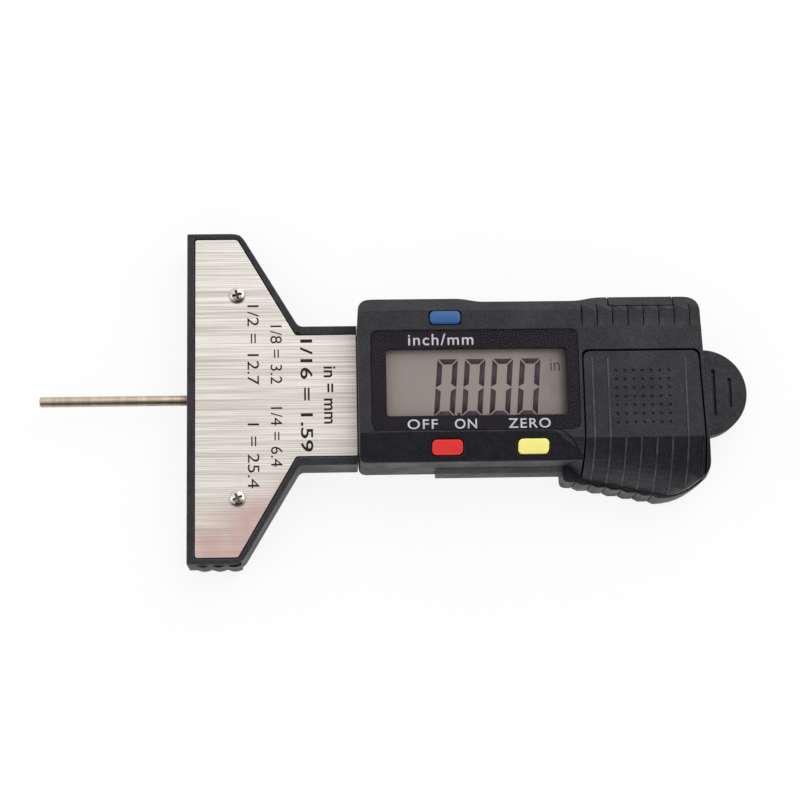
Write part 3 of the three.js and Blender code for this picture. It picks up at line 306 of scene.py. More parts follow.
def make_moulded_grain():
    """The pebbled surface of moulded plastic, with a broad mottling"""
    tree, given, out = new_group(
        "Moulded Grain", [("Grain Size", "NodeSocketFloat", 0.15 * MM)], ["Height", "Tone"],
    )
    fine_share = 0.72
    coarse_steps = 3.5
    tone_steps = 22
    place = tree.object_place()
    scale = tree.math("DIVIDE", 1.0, given["Grain Size"])
    fine = tree.noise(place, scale)
    coarse = tree.noise(place, tree.math("DIVIDE", scale, coarse_steps))
    tree.fill(out["Height"], tree.add_shares(fine_share, fine, coarse))
    tone = tree.noise(place, tree.math("DIVIDE", scale, tone_steps), detail=3.0)
    tree.fill(out["Tone"], tree.remap(tone, MIDDLE_BAND))


def make_edge_wear_and_highlight():
    """Where edges that stand out show rubbing, and a painted highlight on them. The pieces carry their
    edges as an attribute.
    """
    tree, given, out = new_group(
        "Edge Wear", [("Patch Size", "NodeSocketFloat", 2.5 * MM), ("Amount", "NodeSocketFloat", 0.5)],
        ["Mask"],
    )
    least_wear_and_highlight = 0.35
    scale = tree.math("DIVIDE", 1.0, given["Patch Size"])
    noise = tree.noise(tree.object_place(), scale, detail=4.0)
    patches = tree.remap(noise, WIDE_BAND, (least_wear_and_highlight, 1.0))
    rubbed_and_highlit = tree.math("MULTIPLY", tree.attribute("edge"), patches)
    tree.fill(out["Mask"], tree.math("MULTIPLY", rubbed_and_highlit, given["Amount"]))


def make_handling_marks():
    """Specks of dust and faint smudges"""
    tree, given, out = new_group(
        "Handling Marks", [("Speck Size", "NodeSocketFloat", 0.35 * MM)], ["Specks", "Smudges"],
    )
    chosen_band = (0.86, 0.9)
    speck_band = (0.16, 0.08)
    smudge_steps = 18
    smudge_band = (0.42, 0.68)
    place = tree.object_place()
    scale = tree.math("DIVIDE", 1.0, given["Speck Size"])
    cells = tree.node("ShaderNodeTexVoronoi", {"Vector": place, "Scale": scale}).outputs
    chosen = tree.remap(cells["Color"], chosen_band)
    dots = tree.remap(cells["Distance"], speck_band)
    tree.fill(out["Specks"], tree.math("MULTIPLY", chosen, dots))
    smudges = tree.noise(place, tree.math("DIVIDE", scale, smudge_steps), detail=4.0)
    tree.fill(out["Smudges"], tree.remap(smudges, smudge_band))


def make_brushed_lines():
    """Streaks left by brushing or turning. Stretch is how many of them a metre holds along each axis."""
    tree, given, out = new_group(
        "Brushed Lines", [("Stretch", "NodeSocketVector", (60.0, 9000.0, 9000.0))], ["Fine", "Broad"],
    )
    broad_steps = 6.5
    stretched = tree.vector_math("MULTIPLY", tree.object_place(), given["Stretch"]).outputs[0]
    tree.fill(out["Fine"], tree.noise(stretched, 1.0, detail=3.0))
    tree.fill(out["Broad"], tree.noise(stretched, 1 / broad_steps, detail=4.0))


# Materials

# Painted shade: how dark the bottom of a screw's cross is painted against its metal
RECESS_SHADE_SHARE = 0.08

# The clear sheet's mirror is kept dark, because a strong one hides the display in flat views
SHEET_IOR = 1.45
SHEET_MIRROR = 0.1


def new_finish(name):
    """A new material with a Principled BSDF: its tree, the shader's inputs and the surface socket"""
    tree = emptied(bpy.data.materials.new("gauge_" + name))
    shader = tree.node("ShaderNodeBsdfPrincipled")
    surface = tree.node("ShaderNodeOutputMaterial").inputs["Surface"]
    tree.fill(surface, shader.outputs[0])
    return tree, shader.inputs, surface


def finish_named(name):
    material = bpy.data.materials.get("gauge_" + name)
    if material is None:
        raise RuntimeError(f"There is no finish called {name}. Make the finishes first.")
    return material


def scaled(colour, share):
    return [value * share for value in colour]


def bumped(tree, shader, height, distance):
    bump = tree.node("ShaderNodeBump", {"Height": height, "Distance": distance})
    tree.fill(shader["Normal"], bump.outputs[0])


def plastic_finish(
    name, dark, light, worn_and_highlit, grain_size, grain_depth, smooth, rough, gloss=0.5, wear=0.5, grain_share=0.35,
):
    """Moulded plastic with grain, mottling, a few specks, and paler edges, partly from rubbing and partly a
    painted highlight
    """
    tree, shader, _ = new_finish(name)
    grain = tree.group("Moulded Grain", {"Grain Size": grain_size})
    edges = tree.group("Edge Wear", {"Amount": wear})
    marks = tree.group("Handling Marks")
    peak_band = (0.42, 0.62)
    speck_share = 0.12
    peaks = tree.remap(grain["Height"], peak_band)
    body = tree.mix(tree.add_shares(grain_share, peaks, grain["Tone"]), dark, light)
    dusty = tree.mix(tree.math("MULTIPLY", marks["Specks"], speck_share), body, worn_and_highlit)
    # Edges go towards the paler colour: partly rubbing, partly a painted highlight
    tree.fill(shader["Base Color"], tree.mix(edges["Mask"], dusty, worn_and_highlit))
    handled = tree.math("MULTIPLY", marks["Smudges"], -(rough - smooth) / 2)
    rough_now = tree.remap(grain["Height"], WIDE_BAND, (rough, (rough + smooth) / 2))
    tree.fill(shader["Roughness"], tree.math("ADD", rough_now, handled))
    tree.fill(shader["Specular IOR Level"], gloss)
    bumped(tree, shader, grain["Height"], grain_depth)


def metal_finish(name, colour, shade, stretch, smooth, rough, line_depth):
    """Metal with fine lines from brushing or turning, and painted shade in the marked cross of a screw's
    head
    """
    tree, shader, _ = new_finish(name)
    lines = tree.group("Brushed Lines", {"Stretch": stretch})
    marks = tree.group("Handling Marks")
    smudge_share = 0.25
    streaks = tree.remap(lines["Broad"], MIDDLE_BAND)
    darkened = tree.mix(streaks, colour, scaled(colour, shade))
    # Painted shade in the marked cross of a screw's head
    darkened = tree.mix(tree.attribute("recess"), darkened, scaled(colour, RECESS_SHADE_SHARE))
    smudged = tree.math("MULTIPLY", marks["Smudges"], smudge_share)
    tree.fill(shader["Base Color"], tree.mix(smudged, darkened, scaled(scaled(colour, shade), shade)))
    tree.fill(shader["Roughness"], tree.remap(lines["Fine"], WIDE_BAND, (smooth, rough)))
    tree.fill(shader["Metallic"], 1.0)
    bumped(tree, shader, lines["Fine"], line_depth)


def make_plate_finish():
    """The brushed plate: streaks along the gauge, and a warm tint at the lower end"""
    tree, shader, _ = new_finish("brushed_plate")
    palette = colours()
    lines = tree.group("Brushed Lines", {"Stretch": (45.0, 5200.0, 5200.0)})
    marks = tree.group("Handling Marks")
    low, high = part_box("name_plate")
    length = high.y - low.y
    along, across = tree.axis("Y"), tree.axis("X")

    # The tint starts and is full at these shares of the plate's length, along a line that leans
    tint_shares = (0.22, 0.1)
    below_neck_shares = (0.31, 0.2)
    lean = 0.6
    lean_start_share = 0.25
    lean_back = (low.x + (high.x - low.x) * lean_start_share) * lean
    leaning = tree.math("SUBTRACT", along, tree.math("MULTIPLY", across, lean))
    tint = tree.remap(leaning, [low.y + length * share - lean_back for share in tint_shares])
    below_neck = tree.remap(along, [low.y + length * share for share in below_neck_shares])
    tint = tree.math("MULTIPLY", tint, below_neck)
    patch_size = 9 * MM
    patch_band = (0.3, 0.6)
    least_tint = 0.25
    noise = tree.noise(tree.object_place(), 1 / patch_size, detail=3.0)
    tint = tree.math("MULTIPLY", tint, tree.remap(noise, patch_band, (least_tint, 1.0)))

    fine_band = (0.42, 0.6)
    broad_band = (0.4, 0.62)
    fine_share = 0.7
    smudge_share = 0.12
    roughness = (0.3, 0.44)
    metal_share = 0.8
    line_depth = 0.004 * MM
    fine = tree.remap(lines["Fine"], fine_band)
    broad = tree.remap(lines["Broad"], broad_band)
    ground = tree.mix(tree.add_shares(fine_share, fine, broad), palette.plate, palette.plate_streak)
    tinted = tree.mix(tint, ground, palette.plate_blush)
    smudged = tree.math("MULTIPLY", marks["Smudges"], smudge_share)
    tree.fill(shader["Base Color"], tree.mix(smudged, tinted, palette.plate_streak))
    tree.fill(shader["Roughness"], tree.remap(lines["Fine"], WIDE_BAND, roughness))
    tree.fill(shader["Metallic"], metal_share)
    bumped(tree, shader, lines["Fine"], line_depth)


def make_panel_finish():
    """The printed side of the display panel, which doesn't mirror because its clear sheet lies on it"""
    tree, shader, _ = new_finish("smooth_black")
    palette = colours()
    grain = tree.group("Moulded Grain", {"Grain Size": 0.6 * MM})
    marks = tree.group("Handling Marks")
    haze_share = 0.4
    roughness = (0.3, 0.45)
    haze = tree.math("MULTIPLY", grain["Tone"], haze_share)
    dusty = tree.math("MAXIMUM", haze, marks["Specks"])
    tree.fill(shader["Base Color"], tree.mix(dusty, palette.panel_black, palette.panel_dust))
    tree.fill(shader["Roughness"], tree.remap(marks["Smudges"], FULL_BAND, roughness))
    tree.fill(shader["Specular IOR Level"], 0.0)


def make_clear_finish():
    """A clear sheet with hairline scratches. Its outer faces mirror, and more so at a flat angle."""
    tree, shader, surface = new_finish("clear_sheet")
    lines = tree.group("Brushed Lines", {"Stretch": (300.0, 2600.0, 2600.0)})
    marks = tree.group("Handling Marks")
    scratch_band = (0.68, 0.74)
    scratch_depth = 0.0004 * MM
    roughness = (0.03, 0.1)
    tree.fill(shader["Base Color"], (SHEET_MIRROR,) * 3)
    tree.fill(shader["Metallic"], 1.0)
    tree.fill(shader["Roughness"], tree.remap(marks["Smudges"], FULL_BAND, roughness))
    bumped(tree, shader, tree.remap(lines["Fine"], scratch_band), scratch_depth)
    clear = tree.node("ShaderNodeBsdfTransparent").outputs[0]
    mirrored = tree.node("ShaderNodeFresnel", {"IOR": SHEET_IOR}).outputs[0]
    inside = tree.node("ShaderNodeNewGeometry").outputs["Backfacing"]
    mirrored = tree.math("MULTIPLY", mirrored, tree.math("SUBTRACT", 1.0, inside))
    mirror = surface.links[0].from_socket
    tree.fill(surface, tree.mix_shaders(mirrored, clear, mirror))


def make_display_finish():
    """The display's grey ground: warmer and darker to the right, partly tint and partly painted shade,
    faintly cloudy, and with painted shade along the window's edges
    """
    tree, shader, _ = new_finish("lcd_glass")
    palette = colours()
    marks = tree.group("Handling Marks", {"Speck Size": 0.2 * MM})
    low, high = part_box("display_glass")
    corner = window_corners()[1]
    along, across = tree.axis("X"), tree.axis("Y")
    warm_shade_from_share = 0.7
    pale_share = 1.08
    cloud_size = 3 * MM
    cloud_band = (0.4, 0.75)
    most_cloud = 0.3
    speck_share = 0.2
    shade_reach = 1.7 * MM
    shade_above_share = 0.4
    roughness = (0.28, 0.4)
    gloss = 0.2
    # Warmer towards the right, and darker there as painted shade
    warm = tree.remap(along, (low.x + (high.x - low.x) * warm_shade_from_share, high.x))
    ground = tree.mix(warm, palette.display, palette.display_warm_shaded)
    pale = scaled(palette.display, pale_share)
    clouds = tree.noise(tree.object_place(), 1 / cloud_size, detail=4.0)
    cloudy = tree.mix(tree.remap(clouds, cloud_band, (0.0, most_cloud)), ground, pale)
    specked = tree.mix(tree.math("MULTIPLY", marks["Specks"], speck_share), cloudy, pale)
    shaded_right = tree.remap(along, (corner.x - shade_reach, corner.x))
    shaded_above = tree.remap(across, (corner.y - shade_reach / 2, corner.y), (0.0, shade_above_share))
    shade = tree.math("MAXIMUM", shaded_right, shaded_above)
    tree.fill(shader["Base Color"], tree.mix(shade, specked, palette.display_shade))
    tree.fill(shader["Roughness"], tree.remap(clouds, WIDE_BAND, roughness))
    tree.fill(shader["Specular IOR Level"], gloss)


def make_board_finish():
    """Solder mask with tracks under it"""
    tree, shader, _ = new_finish("board_green")
    palette = colours()
    grain = tree.group("Moulded Grain", {"Grain Size": 0.3 * MM})
    cell_size = 2.2 * MM
    track_share = 0.16
    track_band = (0.09, 0.11)
    dark_share = 0.8
    roughness = (0.3, 0.42)
    track_height = 0.02 * MM
    cells = tree.node("ShaderNodeTexVoronoi", {
        "Vector": tree.object_place(), "Scale": 1 / cell_size,
    }, distance="MANHATTAN", feature="F1").outputs["Distance"]
    tracks = tree.remap(tree.math("PINGPONG", cells, track_share), track_band)
    ground = tree.mix(tracks, palette.board, palette.board_trace)
    tree.fill(shader["Base Color"], tree.mix(grain["Tone"], ground, scaled(palette.board, dark_share)))
    tree.fill(shader["Roughness"], tree.remap(grain["Height"], WIDE_BAND, roughness))
    bumped(tree, shader, tracks, track_height)


def make_scale_finish():
    """Fine copper bars printed across a pale strip"""
    tree, shader, _ = new_finish("copper_scale")
    palette = colours()
    marks = tree.group("Handling Marks")
    bar_pitch = 0.85 * MM
    bar_edge_shares = (0.22, 0.28)
    dull_share = 0.6
    smudge_share = 0.3
    metal_share = 0.85
    film_rough, bar_rough = 0.55, 0.32
    bar_height = 0.02 * MM
    wave = tree.math("PINGPONG", tree.axis("X"), bar_pitch / 2)
    bars = tree.remap(wave, [bar_pitch * share for share in bar_edge_shares])
    printed = tree.mix(bars, palette.scale_film, palette.copper)
    smudged = tree.math("MULTIPLY", marks["Smudges"], smudge_share)
    tree.fill(shader["Base Color"], tree.mix(smudged, printed, scaled(palette.copper, dull_share)))
    tree.fill(shader["Metallic"], tree.math("MULTIPLY", bars, metal_share))
    tree.fill(shader["Roughness"], tree.remap(bars, FULL_BAND, (film_rough, bar_rough)))
    bumped(tree, shader, bars, bar_height)


def make_print_finish(name, ink):
    """Printed ink, a little uneven"""
    tree, shader, _ = new_finish(name)
    grain = tree.group("Moulded Grain", {"Grain Size": 0.08 * MM})
    thin_share = 0.86
    roughness = (0.4, 0.6)
    gloss = 0.2
    tree.fill(shader["Base Color"], tree.mix(grain["Tone"], ink, scaled(ink, thin_share)))
    tree.fill(shader["Roughness"], tree.remap(grain["Height"], WIDE_BAND, roughness))
    tree.fill(shader["Specular IOR Level"], gloss)


def make_key_finish(name):
    """A key's plastic, a little darker in its grain and paler at its edges, partly from rubbing and partly
    a painted highlight
    """
    tint = getattr(colours(), name)
    deep_share = 0.92
    tint_share = 0.7
    plastic_finish(
        name, tint, scaled(tint, deep_share), [value * tint_share + (1 - tint_share) for value in tint],
        grain_size=0.2 * MM, grain_depth=0.006 * MM, smooth=0.3, rough=0.42, gloss=0.4, wear=0.15,
    )


def make_finishes():
    """Every finish of the gauge, in the order of the record's slots"""
    palette = colours()
    plastic_finish(
        "black_plastic", palette.case_black, palette.case_grey, palette.worn_highlit_black,
        grain_size=0.3 * MM, grain_depth=0.07 * MM, smooth=0.42, rough=0.64,
        gloss=0.44, wear=0.4, grain_share=0.75,
    )
    make_panel_finish()
    make_clear_finish()
    make_plate_finish()
    metal_finish(
        "nickel_screws", palette.nickel, shade=0.82, stretch=(1800.0, 1800.0, 400.0),
        smooth=0.16, rough=0.3, line_depth=0.003 * MM,
    )
    metal_finish(
        "probe_steel", palette.probe, shade=0.8, stretch=(9000.0, 500.0, 500.0),
        smooth=0.4, rough=0.5, line_depth=0.001 * MM,
    )
    metal_finish(
        "spring_steel", palette.spring, shade=0.85, stretch=(400.0, 6000.0, 6000.0),
        smooth=0.2, rough=0.34, line_depth=0.003 * MM,
    )
    make_display_finish()
    plastic_finish(
        "white_plastic", palette.white, palette.cream, palette.white,
        grain_size=0.25 * MM, grain_depth=0.01 * MM, smooth=0.4, rough=0.55, wear=0.0,
    )
    plastic_finish(
        "carbon_rubber", palette.rubber, palette.case_grey, palette.worn_highlit_black,
        grain_size=0.2 * MM, grain_depth=0.02 * MM, smooth=0.7, rough=0.85, gloss=0.3, wear=0.2,
    )
    make_board_finish()
    plastic_finish(
        "epoxy_black", palette.chip, palette.case_grey, palette.worn_highlit_black,
        grain_size=0.5 * MM, grain_depth=0.01 * MM, smooth=0.25, rough=0.4, wear=0.3,
    )
    metal_finish(
        "cell_steel", palette.cell, shade=0.82, stretch=(3500.0, 3500.0, 300.0),
        smooth=0.36, rough=0.5, line_depth=0.003 * MM,
    )
    metal_finish(
        "brass_contacts", palette.brass, shade=0.82, stretch=(500.0, 7000.0, 7000.0),
        smooth=0.2, rough=0.34, line_depth=0.003 * MM,
    )
    make_scale_finish()
    for name in ("blue_key", "red_key", "yellow_key"):
        make_key_finish(name)
    make_print_finish("plate_print", palette.plate_print)
    make_print_finish("panel_print", palette.panel_print)
    make_print_finish("display_stroke", palette.display_stroke)


class GAUGE_OT_finishes(bpy.types.Operator):
    """Make the shared effects and every material of the gauge"""

    bl_idname = "gauge.finishes"
    bl_label = "Finishes"

    def execute(self, context):
        make_moulded_grain()
        make_edge_wear_and_highlight()
        make_handling_marks()
        make_brushed_lines()
        make_finishes()
        return {"FINISHED"}


# Meshes

# How the CAD's facets are joined and its edges found
WELD_DISTANCE = 0.002 * MM
FLAT_ANGLE = math.radians(0.6)
SHARP_ANGLE = math.radians(24)

# Edges that run nearly alike don't take each other's room, and a rounding gets a share of what there is.
# A point that lands further than a share of the rounding's width from the surface goes back to it.
PARALLEL_SHARE = 0.9
ROOM_SHARE = 0.45
STRAY_SHARE = 0.6

# How far a face of a rounding may turn from the flat face whose shading it takes
ROUNDING_REACH = math.radians(80)

# Crests of narrow ribs, which get a stronger painted highlight than other edges
CREST_REACH = 0.35 * MM
CREST_LEAST_HEIGHT = 0.04 * MM
CREST_HIGHLIGHT = 1.2

# How far a cutter or a line of sight starts outside what it meets
OVERRUN = 1 * MM
DOWN = Vector((0, 0, -1))


def new_object(name, data):
    made = bpy.data.objects.new(name, data)
    bpy.context.scene.collection.objects.link(made)
    return made


def add_piece(name, mesh, body, slot, finish=None):
    """Shows a mesh as a piece that rides on a body, with the slot's finish unless another is named"""
    piece = new_object(name, mesh)
    mesh.materials.clear()
    mesh.materials.append(finish_named(finish or slot))
    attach(piece, body)
    return piece


def box_of(vertices):
    """The lowest and the highest corner of some vertices"""
    return [
        Vector(limit(vertex.co[i] for vertex in vertices) for i in range(3))
        for limit in (min, max)
    ]


def middle_axis(low, high):
    """The upright axis through the middle of a box, as x and y"""
    return Vector(((low.x + high.x) / 2, (low.y + high.y) / 2))


def face_outwards(shape):
    bmesh.ops.recalc_face_normals(shape, faces=shape.faces[:])


def join_rings(shape, rings):
    """Adds the faces from each ring of corners to the next. A ring may be a single point."""
    for first, second in zip(rings, rings[1:]):
        count = max(len(first), len(second))
        for i in range(count):
            after = (i + 1) % count
            corners = [first[i % len(first)], first[after % len(first)]]
            corners += [second[after % len(second)], second[i % len(second)]]
            shape.faces.new(list(dict.fromkeys(corners)))


def mesh_from(shape, name):
    """Turns a bmesh into a smooth-shaded mesh"""
    mesh = bpy.data.meshes.new(name)
    for face in shape.faces:
        face.smooth = True
    shape.to_mesh(mesh)
    shape.free()
    return mesh


def whole_faces(node):
    """A copy of a node's mesh with its facets joined into whole faces"""
    source = frame["nodes"][node].data
    shape = bmesh.new()
    corners = [shape.verts.new(vertex.co) for vertex in source.vertices]
    for face in source.polygons:
        shape.faces.new([corners[i] for i in face.vertices])
    tidy_faces(shape)
    return shape


def tidy_faces(shape):
    """Joins flat facets, then splits them into even triangles, which a rounding can't fold over"""
    bmesh.ops.remove_doubles(shape, verts=shape.verts[:], dist=WELD_DISTANCE)
    bmesh.ops.dissolve_limit(
        shape, angle_limit=FLAT_ANGLE, use_dissolve_boundaries=False,
        verts=shape.verts[:], edges=shape.edges[:],
    )
    bmesh.ops.triangulate(shape, faces=shape.faces[:])
    flat_edges = [edge for edge in shape.edges if edge.calc_face_angle(0.0) < FLAT_ANGLE]
    bmesh.ops.beautify_fill(shape, faces=shape.faces[:], edges=flat_edges, method="ANGLE")
    face_outwards(shape)


def rounding_room(edge):
    """How far an edge can be rounded before it meets what lies beside it"""
    along = (edge.verts[1].co - edge.verts[0].co).normalized()
    room = math.inf
    for corner in edge.verts:
        for other in corner.link_edges:
            towards = other.other_vert(corner).co - corner.co
            if other is not edge and abs(towards.normalized().dot(along)) < PARALLEL_SHARE:
                room = min(room, towards.length * ROOM_SHARE)
    return room


def weigh_edges(shape, width):
    """Marks each sharp edge that has room for the rounding"""
    weights = shape.edges.layers.float.new("bevel_weight_edge")
    for edge in shape.edges:
        sharp = edge.is_manifold and edge.calc_face_angle(0.0) > SHARP_ANGLE
        edge[weights] = 1.0 if sharp and rounding_room(edge) > width else 0.0


def taken_from(stand_in):
    """The mesh that an object's modifiers or letters make. The object itself goes."""
    graph = bpy.context.evaluated_depsgraph_get()
    mesh = bpy.data.meshes.new_from_object(stand_in.evaluated_get(graph))
    bpy.data.objects.remove(stand_in)
    return mesh


def applied(mesh, name, kind, **settings):
    """The mesh that a modifier of the given kind and settings makes of another, which goes"""
    stand_in = new_object(name, mesh)
    modifier = stand_in.modifiers.new(kind.title(), kind)
    for setting, value in settings.items():
        setattr(modifier, setting, value)
    result = taken_from(stand_in)
    result.name = name
    bpy.data.meshes.remove(mesh)
    return result


def rounded(shape, name, width, steps):
    """A mesh with its sharp edges rounded, which carries an edge attribute on the roundings"""
    surface = BVHTree.FromBMesh(shape)
    weigh_edges(shape, width)
    mesh = mesh_from(shape, name)
    mesh.materials.append(None)
    mesh.materials.append(None)
    result = applied(
        mesh, name, "BEVEL", width=width, segments=steps, limit_method="WEIGHT",
        use_clamp_overlap=False, material=1,
    )
    for vertex in result.vertices:
        nearest, _, _, distance = surface.find_nearest(vertex.co)
        if distance > width * STRAY_SHARE:
            vertex.co = nearest
    result.update()
    on_rounding = [face.material_index == 1 for face in result.polygons]
    flat_corners = set()
    for face, is_rounding in zip(result.polygons, on_rounding):
        if not is_rounding:
            flat_corners.update(face.vertices)
        face.material_index = 0
    edges = result.attributes.new("edge", "FLOAT", "POINT")
    for i, value in enumerate(edges.data):
        value.value = 0.0 if i in flat_corners else 1.0
    shade_faces(result, on_rounding)
    return result


def shade_faces(mesh, on_rounding):
    """Shades flat faces flat and curved ones smooth, and turns the roundings from one face to the next"""
    normals = [face.normal.copy() for face in mesh.polygons]
    areas = [face.area for face in mesh.polygons]
    faces_at = [[] for _ in mesh.vertices]
    for face in mesh.polygons:
        for corner in face.vertices:
            faces_at[corner].append(face.index)
    least_flat = math.cos(SHARP_ANGLE)
    least_round = math.cos(ROUNDING_REACH)
    corner_normals = []
    for face in mesh.polygons:
        face.use_smooth = True
        least = least_round if on_rounding[face.index] else least_flat
        for corner in face.vertices:
            near = [i for i in faces_at[corner] if normals[i].dot(normals[face.index]) >= least]
            wanted = [i for i in near if not on_rounding[i]] or near or [face.index]
            total = sum((normals[i] * areas[i] for i in wanted), Vector())
            corner_normals.append(total.normalized() if total.length > 0 else normals[face.index])
    mesh.normals_split_custom_set(corner_normals)


def surface_of(mesh):
    return BVHTree.FromPolygons(
        [vertex.co for vertex in mesh.vertices], [face.vertices for face in mesh.polygons],
    )


def highlight_crests(mesh):
    """Marks narrow ridges for a painted highlight: points that stand above the surface on both of their
    sides along X
    """
    surface = surface_of(mesh)
    above = max(vertex.co.z for vertex in mesh.vertices) + OVERRUN
    for vertex, edge in zip(mesh.vertices, mesh.attributes["edge"].data):
        beside = []
        for side in (-CREST_REACH, CREST_REACH):
            hit = surface.ray_cast(Vector((vertex.co.x + side, vertex.co.y, above)), DOWN)[0]
            beside.append(hit.z if hit else above)
        if vertex.co.z - max(beside) > CREST_LEAST_HEIGHT:
            # A painted highlight along the crest
            edge.value = CREST_HIGHLIGHT


def without(shape, name, cutter):
    """The shape as a bmesh, with another mesh cut out of it"""
    tool = new_object(name + "_tool", cutter)
    mesh = applied(
        mesh_from(shape, name), name, "BOOLEAN", operation="DIFFERENCE", solver="EXACT", object=tool,
    )
    bpy.data.objects.remove(tool)
    bpy.data.meshes.remove(cutter)
    rest = bmesh.new()
    rest.from_mesh(mesh)
    bpy.data.meshes.remove(mesh)
    tidy_faces(rest)
    return rest


def dress(node, name, slot, width, steps=2, shape=None):
    """A rounded piece that takes a node's place"""
    mesh = rounded(shape or whole_faces(node), name, width, steps)
    piece = add_piece(name, mesh, BODY_OF[node], slot)
    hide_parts(node)
    return piece


def finish_nodes(slot, *nodes):
    """Gives CAD nodes that stay in view their finish"""
    for node in nodes:
        for place in frame["nodes"][node].material_slots:
            place.link = "OBJECT"
            place.material = finish_named(slot)


def word_mesh(words, boldness, spacing):
    """The words as a mesh in Blender's own font, one unit thick"""
    curve = bpy.data.curves.new("words", "FONT")
    curve.body = words
    curve.offset = boldness
    curve.space_character = spacing
    curve.extrude = 0.5
    mesh = taken_from(new_object("words", curve))
    bpy.data.curves.remove(curve)
    return mesh


def print_words(shape, words, centre, length, height, turn=0.0, boldness=0.0, spacing=1.0):
    """Adds printed words of a given length and height to a shape, lying on the point given as centre"""
    mesh = word_mesh(words, boldness, spacing)
    low, high = box_of(mesh.vertices)
    span = high - low
    middle = (low + high) / 2
    to_middle = Matrix.Translation((-middle.x, -middle.y, -low.z))
    thickness = sizes().print_thickness
    scale = Matrix.Diagonal((length / span.x, height / span.y, thickness / span.z, 1.0))
    mesh.transform(Matrix.Translation(centre) @ Matrix.Rotation(turn, 4, "Z") @ scale @ to_middle)
    shape.from_mesh(mesh)
    bpy.data.meshes.remove(mesh)


def add_prism(shape, outline, bottom, top):
    """Adds an upright prism over an outline of (x, y) points"""
    rings = [[shape.verts.new((x, y, height)) for x, y in outline] for height in (bottom, top)]
    for ring in rings:
        shape.faces.new(ring)
    join_rings(shape, rings)
    face_outwards(shape)


def turned_about_x(profile, sides, start, height):
    """A turned piece along X, from points (distance along, radius) that start and end on the axis"""
    shape = bmesh.new()
    rings = []
    for along, radius in profile:
        ring = []
        for side in range(sides if radius else 1):
            angle = math.tau * side / sides
            y = radius * math.cos(angle)
            z = height + radius * math.sin(angle)
            ring.append(shape.verts.new((start + along, y, z)))
        rings.append(ring)
    join_rings(shape, rings)
    face_outwards(shape)
    return shape


# Foot, plate and screws

# Lines printed on the plate: words, distance from the measuring face, length, height and boldness
PLATE_LINES = [
    ("in = mm", 24.1, 9.9, 2.0, 0.014),
    ("1/16 = 1.59", 20.2, 19.4, 2.1, 0.014),
    ("1/8 = 3.2    1/4 = 6.4", 15.1, 24.4, 1.95, 0.0),
    ("1/2 = 12.7      1 = 25.4", 11.2, 31.6, 1.95, 0.0),
]
PLATE_LINES_TURN = -math.pi / 2

RECESS_LEAST_DEPTH = 0.2 * MM
RECESS_MOST_DEPTH = 0.8 * MM
RECESS_REACH_SHARE = 0.75
HEAD_BROADENING = 1.2
CASE_SCREW_COUNT = 4


def mark_recess(piece, head_up):
    """Marks the cross in a screw's head for painted shade, where little light gets in"""
    mesh = piece.data
    recess = mesh.attributes.new("recess", "FLOAT", "POINT").data
    low, high = box_of(mesh.vertices)
    axis = middle_axis(low, high)
    reach = (high.x - low.x) / 2 * RECESS_REACH_SHARE
    face = high.z if head_up else low.z
    for vertex, mark in zip(mesh.vertices, recess):
        deep = RECESS_LEAST_DEPTH < abs(vertex.co.z - face) < RECESS_MOST_DEPTH
        mark.value = 1.0 if deep and (vertex.co.xy - axis).length < reach else 0.0


def broaden_head(piece, above):
    """Broadens what stands above a height, about the piece's own axis"""
    corners = piece.data.vertices
    axis = middle_axis(*box_of(corners))
    for vertex in corners:
        if vertex.co.z >= above:
            vertex.co.xy = axis + (vertex.co.xy - axis) * HEAD_BROADENING


class GAUGE_OT_foot(bpy.types.Operator):
    """Build the foot, neck and rail"""

    bl_idname = "gauge.foot"
    bl_label = "Foot"

    def execute(self, context):
        dress("main_frame", "foot_moulding", "black_plastic", sizes().foot_edge, steps=3)
        return {"FINISHED"}


class GAUGE_OT_plate(bpy.types.Operator):
    """Build the brushed plate and the figures on it"""

    bl_idname = "gauge.plate"
    bl_label = "Plate"

    def execute(self, context):
        dress("name_plate", "brushed_plate", "brushed_plate", sizes().metal_edge)
        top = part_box("name_plate")[1].z
        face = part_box("main_frame")[0].x
        shape = bmesh.new()
        for words, from_face, length, height, boldness in PLATE_LINES:
            centre = (face + from_face * MM, 0, top)
            print_words(shape, words, centre, length * MM, height * MM, PLATE_LINES_TURN, boldness)
        add_piece(
            "plate_figures", mesh_from(shape, "plate_figures"), BODY_OF["name_plate"],
            "smooth_black", "plate_print",
        )
        return {"FINISHED"}


class GAUGE_OT_screws(bpy.types.Operator):
    """Build the plate screws, the case screws and the set screw"""

    bl_idname = "gauge.screws"
    bl_label = "Screws"

    def execute(self, context):
        edge = sizes().metal_edge
        for node, name in (("plate_screw_1", "upper_plate_screw"), ("plate_screw_2", "lower_plate_screw")):
            screw = dress(node, name, "nickel_screws", edge)
            broaden_head(screw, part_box("name_plate")[1].z)
            mark_recess(screw, head_up=True)
        for number in range(1, CASE_SCREW_COUNT + 1):
            screw = dress(f"case_screw_{number}", f"back_screw_{number}", "nickel_screws", edge)
            mark_recess(screw, head_up=False)
        dress("probe_set_screw", "set_screw", "spring_steel", edge)
        return {"FINISHED"}


# Case and covers

# The curved groove from the panel's corner to the cover, as distances from the cover's upper left corner
GROOVE_PATH = [(-7.57, -11.8), (-4.88, -12.9), (-2.31, -14.8), (-0.79, -16.9)]
GROOVE_STEPS = 24

# A groove's floor as a share of its width, its depth at the ends, and the power by which it runs out
GROOVE_FLOOR_SHARE = 0.4
GROOVE_LEAST_SHARE = 0.15
GROOVE_RUN_OUT_POWER = 4

